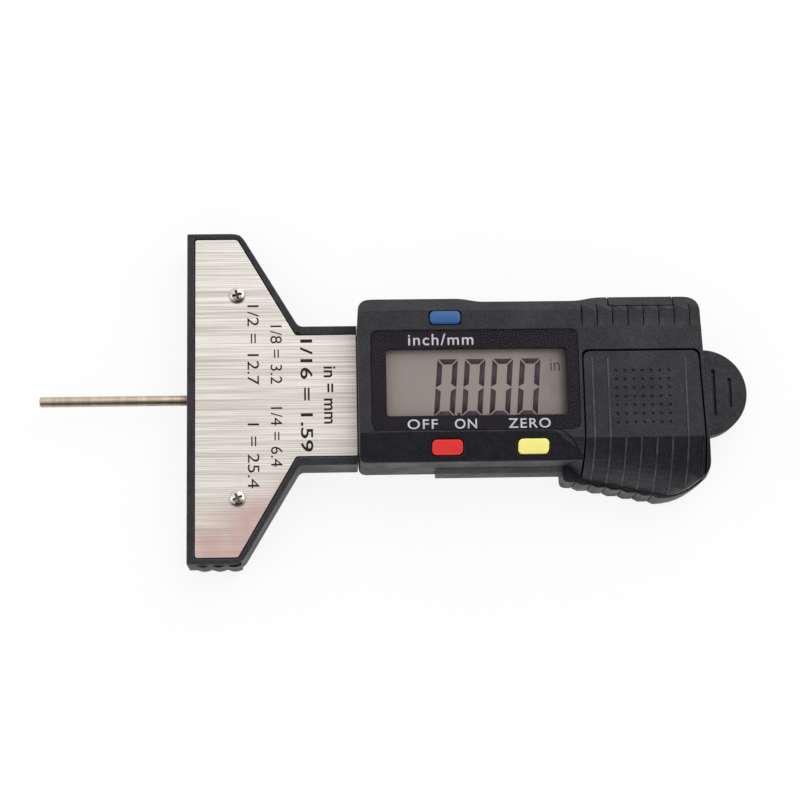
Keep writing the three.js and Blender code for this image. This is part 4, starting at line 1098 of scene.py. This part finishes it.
# Places of the grip's ribs, notches and teeth, against the boxes of the CAD's pieces
RIB_COUNT = 8
RIB_BEFORE_COVER = 0.15 * MM
RIB_END_MARGIN = 1.15 * MM
CHAMFER_RUN = 2.6 * MM
NOTCH_LINE_BELOW = 3.0 * MM
NOTCH_LINE_ABOVE = 1.0 * MM
NOTCH_LINE_SHIFT = 0.12 * MM
BELLY_BEFORE_COVER = 3.2 * MM
TOOTH_COUNT = 6
TOOTH_STEP = 0.5 * MM
TOOTH_RAMP = 0.5 * MM
TOOTH_GROOVE_WIDTH = 0.16 * MM
TOOTH_GROOVE_DEPTH = 0.2 * MM
SEAM_INSET = 0.34 * MM

# The ledge below the display, where the rear shell stands out past the front shell
HEAD_SIDE = -12.5 * MM
LEDGE_FROM_HEAD = 13.1 * MM
LEDGE_WIDTH = 0.7 * MM
LEDGE_MARGIN = 0.05 * MM
LEDGE_DROP = 1.8 * MM


def curve_points(path, steps):
    """Points along a smooth curve through the given ones"""
    ends = [path[0] * 2 - path[1], *path, path[-1] * 2 - path[-2]]
    points = []
    for before, start, end, after in zip(ends, ends[1:], ends[2:], ends[3:]):
        for step in range(steps):
            share = step / steps
            pull_in = (end - before) / 2
            pull_out = (after - start) / 2
            square = share * share
            cube = square * share
            points.append(
                start * (2 * cube - 3 * square + 1) + pull_in * (cube - 2 * square + share)
                + end * (3 * square - 2 * cube) + pull_out * (cube - square)
            )
    points.append(path[-1])
    return points


def groove_cutter(surface, paths, width, depth):
    """Ribbons that stand in the surface along paths and run out at both ends of each"""
    tree = BVHTree.FromBMesh(surface)
    above = max(corner.co.z for corner in surface.verts) + OVERRUN
    cutter = bmesh.new()
    for points in paths:
        rings = []
        for i, point in enumerate(points):
            before = points[max(i - 1, 0)]
            after = points[min(i + 1, len(points) - 1)]
            along = (after - before).normalized()
            side = Vector((-along.y, along.x, 0)) * width / 2
            hit = tree.ray_cast(Vector((point.x, point.y, above)), DOWN)[0]
            share = 1 - abs(2 * i / (len(points) - 1) - 1) ** GROOVE_RUN_OUT_POWER
            bottom = hit.z - depth * max(share, GROOVE_LEAST_SHARE)
            rings.append([
                cutter.verts.new((*(point - side).xy, above)),
                cutter.verts.new((*(point - side * GROOVE_FLOOR_SHARE).xy, bottom)),
                cutter.verts.new((*(point + side * GROOVE_FLOOR_SHARE).xy, bottom)),
                cutter.verts.new((*(point + side).xy, above)),
            ])
        join_rings(cutter, rings)
        cutter.faces.new(rings[0])
        cutter.faces.new(rings[-1])
    face_outwards(cutter)
    return mesh_from(cutter, "groove_cutter")


def rib_places():
    """Where the ribs of the grip start along the gauge, and how far apart they are"""
    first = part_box("battery_cover")[0].x - RIB_BEFORE_COVER
    pitch = (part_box("front_case")[1].x - RIB_END_MARGIN - first) / RIB_COUNT
    return [first + pitch * number for number in range(RIB_COUNT)], pitch


def notch_lines():
    """The dark lines at the start of each notch in the grip's top edge"""
    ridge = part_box("front_case")[1].y - CHAMFER_RUN
    lines = []
    for place in rib_places()[0]:
        low = Vector((place + NOTCH_LINE_SHIFT, ridge - NOTCH_LINE_BELOW, 0))
        high = Vector((place + NOTCH_LINE_SHIFT, ridge + NOTCH_LINE_ABOVE, 0))
        lines.append([low.lerp(high, step / GROOVE_STEPS) for step in range(GROOVE_STEPS + 1)])
    return lines


def curved_groove():
    """The path of the groove from the panel's corner to the battery cover"""
    low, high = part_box("battery_cover")
    corner = Vector((low.x, high.y, 0))
    path = [corner + Vector((x, y, 0)) * MM for x, y in GROOVE_PATH]
    return curve_points(path, GROOVE_STEPS // len(GROOVE_PATH))


def belly_start():
    """Where the belly starts along the gauge"""
    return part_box("battery_cover")[0].x - BELLY_BEFORE_COVER


def tooth_corners():
    """The corners of the belly's toothed outline, from the head to the end"""
    pitch = rib_places()[1]
    start = belly_start()
    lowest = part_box("rear_case")[0].y
    corners = []
    for tooth in range(TOOTH_COUNT):
        y = lowest + (TOOTH_COUNT - tooth) * TOOTH_STEP
        corners.append(Vector((start + pitch * tooth + TOOTH_RAMP, y, 0)))
        corners.append(Vector((start + pitch * (tooth + 1) - TOOTH_RAMP, y, 0)))
    return corners


def tooth_cutter():
    """Upright grooves where one tooth of the belly meets the next"""
    cutter = bmesh.new()
    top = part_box("rear_case")[1].z + OVERRUN
    for corner in tooth_corners()[1::2]:
        left, right = corner.x - TOOTH_GROOVE_WIDTH / 2, corner.x + TOOTH_GROOVE_WIDTH / 2
        low, high = corner.y - TOOTH_STEP, corner.y + TOOTH_GROOVE_DEPTH
        add_prism(cutter, [(left, low), (right, low), (right, high), (left, high)], -OVERRUN, top)
    return mesh_from(cutter, "tooth_cutter")


def ledge_cutter():
    """Turns the top of the ledge into a slope"""
    low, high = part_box("rear_case")
    inner, outer = HEAD_SIDE - LEDGE_MARGIN, HEAD_SIDE - LEDGE_WIDTH - LEDGE_MARGIN
    above = high.z + OVERRUN
    profile = [(inner, high.z), (outer, high.z - LEDGE_DROP), (outer, above), (inner, above)]
    cutter = bmesh.new()
    rings = [
        [cutter.verts.new((x, y, z)) for y, z in profile]
        for x in (low.x + LEDGE_FROM_HEAD - LEDGE_MARGIN, belly_start() + WELD_DISTANCE)
    ]
    join_rings(cutter, rings)
    for ring in rings:
        cutter.faces.new(ring)
    face_outwards(cutter)
    return mesh_from(cutter, "ledge_cutter")


class GAUGE_OT_case(bpy.types.Operator):
    """Build the front and rear shell"""

    bl_idname = "gauge.case"
    bl_label = "Case"

    def execute(self, context):
        size = sizes()
        front = whole_faces("front_case")
        curve = groove_cutter(front, [curved_groove()], size.groove_width, size.groove_depth)
        lines = groove_cutter(front, notch_lines(), size.line_width, size.line_depth)
        for cutter in (curve, lines):
            front = without(front, "front_shell", cutter)
        dress("front_case", "front_shell", "black_plastic", size.case_edge, shape=front)
        rear = whole_faces("rear_case")
        seam = [corner + Vector((0, SEAM_INSET, 0)) for corner in tooth_corners()[1:]]
        seam_cutter = groove_cutter(rear, [seam], size.line_width, size.line_depth)
        for cutter in (seam_cutter, tooth_cutter(), ledge_cutter()):
            rear = without(rear, "rear_shell", cutter)
        dress("rear_case", "rear_shell", "black_plastic", size.case_edge, shape=rear)
        return {"FINISHED"}


class GAUGE_OT_covers(bpy.types.Operator):
    """Build the battery cover and the port cover"""

    bl_idname = "gauge.covers"
    bl_label = "Covers"

    def execute(self, context):
        size = sizes()
        door = dress("battery_cover", "battery_door_shell", "black_plastic", size.cover_edge)
        highlight_crests(door.data)
        port = whole_faces("port_cover")
        low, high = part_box("port_cover")
        lines = [
            [point for point in path if low.y < point.y < high.y]
            for path in notch_lines()
            if low.x < path[0].x - size.line_width and path[0].x + size.line_width < high.x
        ]
        cutter = groove_cutter(port, lines, size.line_width, size.line_depth)
        port = without(port, "port_door_shell", cutter)
        dress("port_cover", "port_door_shell", "black_plastic", size.cover_edge, shape=port)
        return {"FINISHED"}


# Display

# The window's opening, as distances inwards from the box of the glass under it
WINDOW_INSET = 0.8 * MM
WINDOW_LEDGE = 1.4 * MM

# Words on the panel: words, the key they belong to, shift along, shift across, length and height
PANEL_WORDS = [
    ("inch/mm", "unit_button", -0.8, 0.0, 10.9, 1.95),
    ("OFF", "power_button", -4.1, -0.2, 5.0, 1.65),
    ("ON", "power_button", 3.05, -0.2, 3.65, 1.65),
    ("ZERO", "zero_button", -0.7, -0.2, 7.0, 1.65),
]
PANEL_BOLDNESS = 0.007
PANEL_SPACING = 1.15

DIGIT_COUNT = 4
FIRST_DIGIT_INSET = 8.66 * MM
DIGIT_TOP_INSET = 1.55 * MM
POINT_SIZE = (0.5 * MM, 0.6 * MM)
UNIT_MARK_INSET = 1.85 * MM
UNIT_MARK_SIZE = (1.6 * MM, 2.0 * MM)
UNIT_MARK_DROP_SHARE = 0.58
UNIT_MARK_BOLDNESS = -0.005


def window_corners():
    """The lowest and highest corner of the opening over the display"""
    low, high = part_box("display_glass")
    inset = Vector((WINDOW_INSET, WINDOW_INSET, 0))
    return low + inset + Vector((0, WINDOW_LEDGE, 0)), high - inset


def add_digit(shape, left, top, height):
    """Adds the six strokes of a 0 to a shape, leaning to the right"""
    size = sizes()
    wide = size.digit_width
    tall = size.digit_height
    stroke = size.stroke_width
    gap = size.stroke_gap
    middle = tall / 2
    bar = [(gap, 0), (wide - gap, 0), (wide - stroke - gap, stroke), (stroke + gap, stroke)]
    post = [(0, gap), (stroke, stroke + gap), (stroke, middle - stroke / 2 - gap), (0, middle - gap / 2)]
    strokes = [bar, [(x, tall - y) for x, y in bar]]
    for mirrored_x in (False, True):
        for mirrored_y in (False, True):
            strokes.append([
                (wide - x if mirrored_x else x, tall - y if mirrored_y else y) for x, y in post
            ])
    lean = math.tan(size.digit_slant)
    for outline in strokes:
        placed = [(left + x + (tall - y) * lean, top - y) for x, y in outline]
        add_prism(shape, placed, height, height + size.print_thickness)


class GAUGE_OT_panel(bpy.types.Operator):
    """Build the display panel, its clear sheet and its words"""

    bl_idname = "gauge.panel"
    bl_label = "Panel"

    def execute(self, context):
        size = sizes()
        dress("panel_mask", "panel_mask_print", "smooth_black", size.metal_edge)
        sheet = whole_faces("panel_sheet")
        above_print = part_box("panel_sheet")[0].z + size.sheet_gap
        for corner in sheet.verts:
            corner.co.z = max(corner.co.z, above_print)
        dress("panel_sheet", "panel_window", "clear_sheet", size.metal_edge, shape=sheet)
        window_low, window_high = window_corners()
        panel_low, panel_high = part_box("panel_mask")
        shape = bmesh.new()
        for words, key, shift_x, shift_y, length, height in PANEL_WORDS:
            key_low, key_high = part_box(key)
            along = (key_low.x + key_high.x) / 2 + shift_x * MM
            if key_low.y > window_high.y:
                across = (window_high.y + panel_high.y) / 2
            else:
                across = (window_low.y + panel_low.y) / 2
            centre = (along, across + shift_y * MM, panel_high.z)
            print_words(
                shape, words, centre, length * MM, height * MM,
                boldness=PANEL_BOLDNESS, spacing=PANEL_SPACING,
            )
        add_piece(
            "panel_words", mesh_from(shape, "panel_words"), BODY_OF["panel_mask"],
            "white_plastic", "panel_print",
        )
        return {"FINISHED"}


class GAUGE_OT_display(bpy.types.Operator):
    """Build the display glass and its digits, and finish what holds them"""

    bl_idname = "gauge.display"
    bl_label = "Display"

    def execute(self, context):
        size = sizes()
        dress("display_glass", "display_glass_sheets", "lcd_glass", size.metal_edge)
        finish_nodes("white_plastic", "display_reflector", "display_holder")
        finish_nodes("carbon_rubber", "connector_strip")
        low, high = window_corners()
        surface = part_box("display_glass")[1].z
        top = high.y - DIGIT_TOP_INSET
        first = low.x + FIRST_DIGIT_INSET - size.digit_height * math.tan(size.digit_slant)
        shape = bmesh.new()
        for digit in range(DIGIT_COUNT):
            add_digit(shape, first + digit * size.digit_pitch, top, surface)
        wide, tall = POINT_SIZE
        right = first + size.digit_pitch - size.stroke_gap
        upper = top - size.digit_height + tall
        point = [(right - wide, upper - tall), (right, upper - tall), (right, upper), (right - wide, upper)]
        add_prism(shape, point, surface, surface + size.print_thickness)
        wide, tall = UNIT_MARK_SIZE
        centre = (high.x - UNIT_MARK_INSET, top - tall * UNIT_MARK_DROP_SHARE, surface)
        print_words(shape, "in", centre, wide, tall, boldness=UNIT_MARK_BOLDNESS)
        add_piece(
            "display_digits", mesh_from(shape, "display_digits"), BODY_OF["display_glass"],
            "smooth_black", "display_stroke",
        )
        return {"FINISHED"}


# Keys

# Node, piece, finish, width across and how deep the finger dish at the lower edge is
KEY_CAPS = [
    ("unit_button", "blue_key_cap", "blue_key", 2.2 * MM, 0.3 * MM),
    ("power_button", "red_key_cap", "red_key", 2.3 * MM, 0.0),
    ("zero_button", "yellow_key_cap", "yellow_key", 2.3 * MM, 0.0),
]
KEY_FLANGE = 0.5 * MM
KEY_FLANGE_THICKNESS = 0.6 * MM
KEY_CORNER = 0.75 * MM
KEY_CORNER_STEPS = 7
KEY_EDGE_STEPS = 6
KEY_INNER_SHARES = (0.3, 0.6, 0.85)
KEY_CROWN = 0.06 * MM


def rounded_rectangle(left, right, low, high, corner):
    """Points around a rectangle with round corners, the same number for every size"""
    points = []
    centres = [(right, high, -1, -1), (left, high, 1, -1), (left, low, 1, 1), (right, low, -1, 1)]
    for quarter, (x, y, inwards_x, inwards_y) in enumerate(centres):
        for step in range(KEY_CORNER_STEPS + 1):
            angle = math.pi / 2 * (quarter + step / KEY_CORNER_STEPS)
            points.append((
                x + inwards_x * corner + corner * math.cos(angle),
                y + inwards_y * corner + corner * math.sin(angle),
            ))
    return points


def key_face(node, x, low, high):
    """The height of the key's face as a function of y, read off the CAD's own face"""
    surface = surface_of(frame["nodes"][node].data)
    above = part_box(node)[1].z + OVERRUN
    at_low, at_high = (surface.ray_cast(Vector((x, y, above)), DOWN)[0].z for y in (low, high))
    return lambda y: at_low + (at_high - at_low) * (y - low) / (high - low)


def build_key(node, name, slot, width, dish):
    """A key cap on its flange, with a rounded edge, a slight crown and a dish for the finger"""
    box_low, box_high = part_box(node)
    left, right = box_low.x + KEY_FLANGE, box_high.x - KEY_FLANGE
    high = box_high.y - KEY_FLANGE
    low = high - width
    middle = (left + right) / 2
    face = key_face(node, left + KEY_CORNER, low + KEY_CORNER, high - KEY_CORNER)
    edge = sizes().key_edge
    half_length, half_width = (right - left) / 2, width / 2
    shape = bmesh.new()
    rings = []

    def add_ring(inset, drop, corner):
        ring = []
        outline = rounded_rectangle(left + inset, right - inset, low + inset, high - inset, corner)
        for x, y in outline:
            along = max(0.0, 1 - ((x - middle) / half_length) ** 2)
            across = (high - y) / width
            ring.append(shape.verts.new((x, y, face(y) - drop - dish * along * across ** 2)))
        rings.append(ring)

    flange = rounded_rectangle(box_low.x, box_high.x, box_low.y, box_high.y, KEY_FLANGE / 2)
    stem = rounded_rectangle(left, right, low, high, KEY_CORNER)
    flange_top = box_low.z + KEY_FLANGE_THICKNESS
    for outline, height in ((flange, box_low.z), (flange, flange_top), (stem, flange_top)):
        rings.append([shape.verts.new((x, y, height)) for x, y in outline])
    for step in range(KEY_EDGE_STEPS + 1):
        angle = math.pi / 2 * step / KEY_EDGE_STEPS
        inset = edge * (1 - math.cos(angle))
        add_ring(inset, KEY_CROWN + edge * (1 - math.sin(angle)), KEY_CORNER - inset)
    for share in KEY_INNER_SHARES:
        inset = edge + (half_width - edge) * share
        add_ring(inset, KEY_CROWN * (1 - share), (KEY_CORNER - edge) * (1 - share))
    join_rings(shape, rings)
    shape.faces.new(rings[0])
    shape.faces.new(rings[-1])
    bmesh.ops.remove_doubles(shape, verts=shape.verts[:], dist=WELD_DISTANCE)
    face_outwards(shape)
    mesh = mesh_from(shape, name)
    shade_faces(mesh, [False] * len(mesh.polygons))
    piece = add_piece(name, mesh, BODY_OF[node], slot)
    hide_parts(node)


class GAUGE_OT_keys(bpy.types.Operator):
    """Build the three keys"""

    bl_idname = "gauge.keys"
    bl_label = "Keys"

    def execute(self, context):
        for node, name, slot, width, dish in KEY_CAPS:
            build_key(node, name, slot, width, dish)
        return {"FINISHED"}


# Slider, probe and the parts inside

PROBE_ROUNDING = 0.3 * MM
PROBE_ROUNDING_STEPS = 6
PROBE_SIDES = 64

PLUS_REACH = 1.7 * MM
PLUS_WIDTH = 0.5 * MM
PLUS_DEPTH = 0.1 * MM


def plus_cutter(node):
    """A plus sign that sinks into the top of a node"""
    low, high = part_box(node)
    centre = (low + high) / 2
    arm = [(PLUS_WIDTH / 2, PLUS_REACH), (PLUS_WIDTH / 2, PLUS_WIDTH / 2), (PLUS_REACH, PLUS_WIDTH / 2)]
    outline = []
    for turn_x, turn_y in ((1, 1), (1, -1), (-1, -1), (-1, 1)):
        quarter = [(centre.x + x * turn_x, centre.y + y * turn_y) for x, y in arm]
        outline += quarter if turn_x == turn_y else quarter[::-1]
    cutter = bmesh.new()
    add_prism(cutter, outline, high.z - PLUS_DEPTH, high.z + PLUS_DEPTH)
    return mesh_from(cutter, "plus_cutter")


class GAUGE_OT_carriage(bpy.types.Operator):
    """Build the slider with its thumb tab and the probe"""

    bl_idname = "gauge.carriage"
    bl_label = "Carriage"

    def execute(self, context):
        dress("slider", "slider_bar", "black_plastic", sizes().case_edge, steps=3)
        finish_nodes("copper_scale", "scale_strip")
        low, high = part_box("probe_rod")
        radius = (high.y - low.y) / 2
        length = high.x - low.x
        profile = [(0, 0)]
        for step in range(PROBE_ROUNDING_STEPS + 1):
            angle = math.pi / 2 * step / PROBE_ROUNDING_STEPS
            along = PROBE_ROUNDING * (1 - math.cos(angle))
            profile.append((along, radius - PROBE_ROUNDING * (1 - math.sin(angle))))
        profile += [(length - PROBE_ROUNDING, radius), (length, radius - PROBE_ROUNDING), (length, 0)]
        rod = turned_about_x(profile, PROBE_SIDES, low.x, (low.z + high.z) / 2)
        probe = add_piece("probe_pin", mesh_from(rod, "probe_pin"), BODY_OF["probe_rod"], "probe_steel")
        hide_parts("probe_rod")
        return {"FINISHED"}


class GAUGE_OT_inner_parts(bpy.types.Operator):
    """Build the cell and its contacts, and finish the parts inside"""

    bl_idname = "gauge.inner_parts"
    bl_label = "Inner Parts"

    def execute(self, context):
        size = sizes()
        finish_nodes("board_green", "circuit_board")
        finish_nodes("epoxy_black", "controller_chip", "unit_switch", "power_switch", "zero_switch")
        cell = without(whole_faces("coin_cell"), "coin_cell_can", plus_cutter("coin_cell"))
        dress("coin_cell", "coin_cell_can", "cell_steel", size.cell_edge, steps=3, shape=cell)
        dress("contact_negative", "negative_spring", "brass_contacts", size.metal_edge)
        dress("contact_positive", "positive_spring", "brass_contacts", size.metal_edge)
        finish_nodes("spring_steel", "friction_spring")
        return {"FINISHED"}


# Stage

FLOOR_REACH = 6.0
FLOOR_DROP = 0.02 * MM
FLOOR_SMUDGE_SHARE = 0.97
FLOOR_ROUGHNESS = 0.9
FLOOR_GLOSS = 0.1
LAMP_SIZE = 0.6
KEY_LAMP_PLACE = (0.3, 0.42, 0.55)
FILL_LAMP_PLACE = (-0.5, -0.1, 0.6)
SHADE_DIRECTION = (0.0, -0.86, 0.5)
SHADE_BAND = (0.3, 0.68)
CAMERA_CLIP_START = 0.02
CAMERA_CLIP_END = 50.0


def make_floor_finish():
    """A pale floor that the eye sees nearly white, while its shadows stay"""
    tree, shader, surface = new_finish("floor")
    marks = tree.group("Handling Marks", {"Speck Size": 3 * MM})
    pale = colours().floor
    tree.fill(shader["Base Color"], tree.mix(marks["Smudges"], pale, scaled(pale, FLOOR_SMUDGE_SHARE)))
    tree.fill(shader["Roughness"], FLOOR_ROUGHNESS)
    tree.fill(shader["Specular IOR Level"], FLOOR_GLOSS)
    white = tree.node("ShaderNodeEmission", {"Color": WHITE, "Strength": 1.0}).outputs[0]
    share = tree.math("MULTIPLY", tree.seen_share(), studio().floor_white)
    lit = surface.links[0].from_socket
    tree.fill(surface, tree.mix_shaders(share, lit, white))


def build_floor():
    """A wide floor just under the gauge"""
    make_floor_finish()
    shape = bmesh.new()
    corners = [(-FLOOR_REACH, -FLOOR_REACH), (FLOOR_REACH, -FLOOR_REACH)]
    corners += [(FLOOR_REACH, FLOOR_REACH), (-FLOOR_REACH, FLOOR_REACH)]
    shape.faces.new([shape.verts.new((x, y, -FLOOR_DROP)) for x, y in corners])
    floor = new_object("floor", mesh_from(shape, "floor"))
    floor.data.materials.append(finish_named("floor"))


def build_world():
    """An even white room that is dimmer towards the front in reflections"""
    world = bpy.data.worlds.new("pale_room")
    bpy.context.scene.world = world
    tree = emptied(world)
    direction = tree.node("ShaderNodeTexCoord").outputs["Generated"]
    towards = Vector(SHADE_DIRECTION).normalized()
    facing = tree.vector_math("DOT_PRODUCT", direction, towards).outputs["Value"]
    mirrored = tree.mix(tree.remap(facing, SHADE_BAND), WHITE, colours().front_shade)
    from_camera = tree.node("ShaderNodeLightPath").outputs["Is Camera Ray"]
    seen_colour = tree.mix(from_camera, mirrored, WHITE)
    seen = tree.node("ShaderNodeBackground", {"Color": seen_colour, "Strength": 1.0}).outputs[0]
    light = tree.node("ShaderNodeBackground", {"Color": WHITE, "Strength": studio().room_light}).outputs[0]
    output = tree.node("ShaderNodeOutputWorld")
    tree.fill(output.inputs["Surface"], tree.mix_shaders(tree.seen_share(), light, seen))


def build_lamp(name, place, power):
    """A square soft lamp that shines at the origin"""
    lamp = bpy.data.lights.new(name, "AREA")
    lamp.size = LAMP_SIZE
    lamp.energy = power
    holder = new_object(name, lamp)
    holder.location = place
    holder.rotation_euler = (-Vector(place)).to_track_quat("-Z", "Y").to_euler()


def turned(first, second, angle):
    """Two crossed directions, turned from the first towards the second"""
    return (
        math.cos(angle) * first + math.sin(angle) * second,
        math.cos(angle) * second - math.sin(angle) * first,
    )


def build_camera():
    """A camera at the photograph's viewing angle, from the tilt, pan and roll of its view"""
    settings = studio()
    tilt = settings.camera_tilt
    ahead = Vector((0, math.sin(tilt), -math.cos(tilt)))
    up = Vector((0, math.cos(tilt), math.sin(tilt)))
    ahead, right = turned(ahead, Vector((1, 0, 0)), settings.camera_pan)
    right, up = turned(right, up, settings.camera_roll)
    data = bpy.data.cameras.new("view")
    data.lens = settings.lens
    data.clip_start = CAMERA_CLIP_START
    data.clip_end = CAMERA_CLIP_END
    camera = new_object("view", data)
    turn = Matrix((right, up, -ahead)).transposed().to_4x4()
    camera.matrix_world = Matrix.Translation(settings.camera_place) @ turn
    bpy.context.scene.camera = camera


class GAUGE_OT_stage(bpy.types.Operator):
    """Build the floor, the light and the camera"""

    bl_idname = "gauge.stage"
    bl_label = "Stage"

    def execute(self, context):
        build_floor()
        build_world()
        build_lamp("key_lamp", KEY_LAMP_PLACE, studio().key_power)
        build_lamp("fill_lamp", FILL_LAMP_PLACE, studio().fill_power)
        build_camera()
        return {"FINISHED"}


# Registration

PROPERTY_GROUPS = {
    "gauge_sizes": GaugeSizes,
    "gauge_colours": GaugeColours,
    "gauge_studio": GaugeStudio,
}
OPERATORS = (
    GAUGE_OT_finishes,
    GAUGE_OT_foot,
    GAUGE_OT_plate,
    GAUGE_OT_screws,
    GAUGE_OT_case,
    GAUGE_OT_covers,
    GAUGE_OT_panel,
    GAUGE_OT_display,
    GAUGE_OT_keys,
    GAUGE_OT_carriage,
    GAUGE_OT_inner_parts,
    GAUGE_OT_stage,
)


class GAUGE_PT_sidebar(bpy.types.Panel):
    """Lists the gauge's operators and settings"""

    bl_idname = "GAUGE_PT_sidebar"
    bl_label = "Depth Gauge"
    bl_space_type = "VIEW_3D"
    bl_region_type = "UI"
    bl_category = "Depth Gauge"

    def draw(self, context):
        for operator in OPERATORS:
            self.layout.operator(operator.bl_idname)
        for holder in PROPERTY_GROUPS:
            settings = getattr(context.scene, holder)
            box = self.layout.box()
            for name in settings.bl_rna.properties.keys():
                if name not in ("name", "rna_type"):
                    box.prop(settings, name)


CLASSES = (*PROPERTY_GROUPS.values(), *OPERATORS, GAUGE_PT_sidebar)


def register():
    for item in CLASSES:
        bpy.utils.register_class(item)
    for holder, group in PROPERTY_GROUPS.items():
        setattr(bpy.types.Scene, holder, bpy.props.PointerProperty(type=group))


def unregister():
    for holder in reversed(PROPERTY_GROUPS):
        delattr(bpy.types.Scene, holder)
    for item in reversed(CLASSES):
        bpy.utils.unregister_class(item)


def main():
    register()
    bpy.context.scene.view_settings.view_transform = "Standard"
    bpy.ops.gauge.finishes()
    bpy.ops.gauge.foot()
    bpy.ops.gauge.plate()
    bpy.ops.gauge.screws()
    bpy.ops.gauge.case()
    bpy.ops.gauge.covers()
    bpy.ops.gauge.panel()
    bpy.ops.gauge.display()
    bpy.ops.gauge.keys()
    bpy.ops.gauge.carriage()
    bpy.ops.gauge.inner_parts()
    bpy.ops.gauge.stage()


if __name__ == "__main__":
    main()
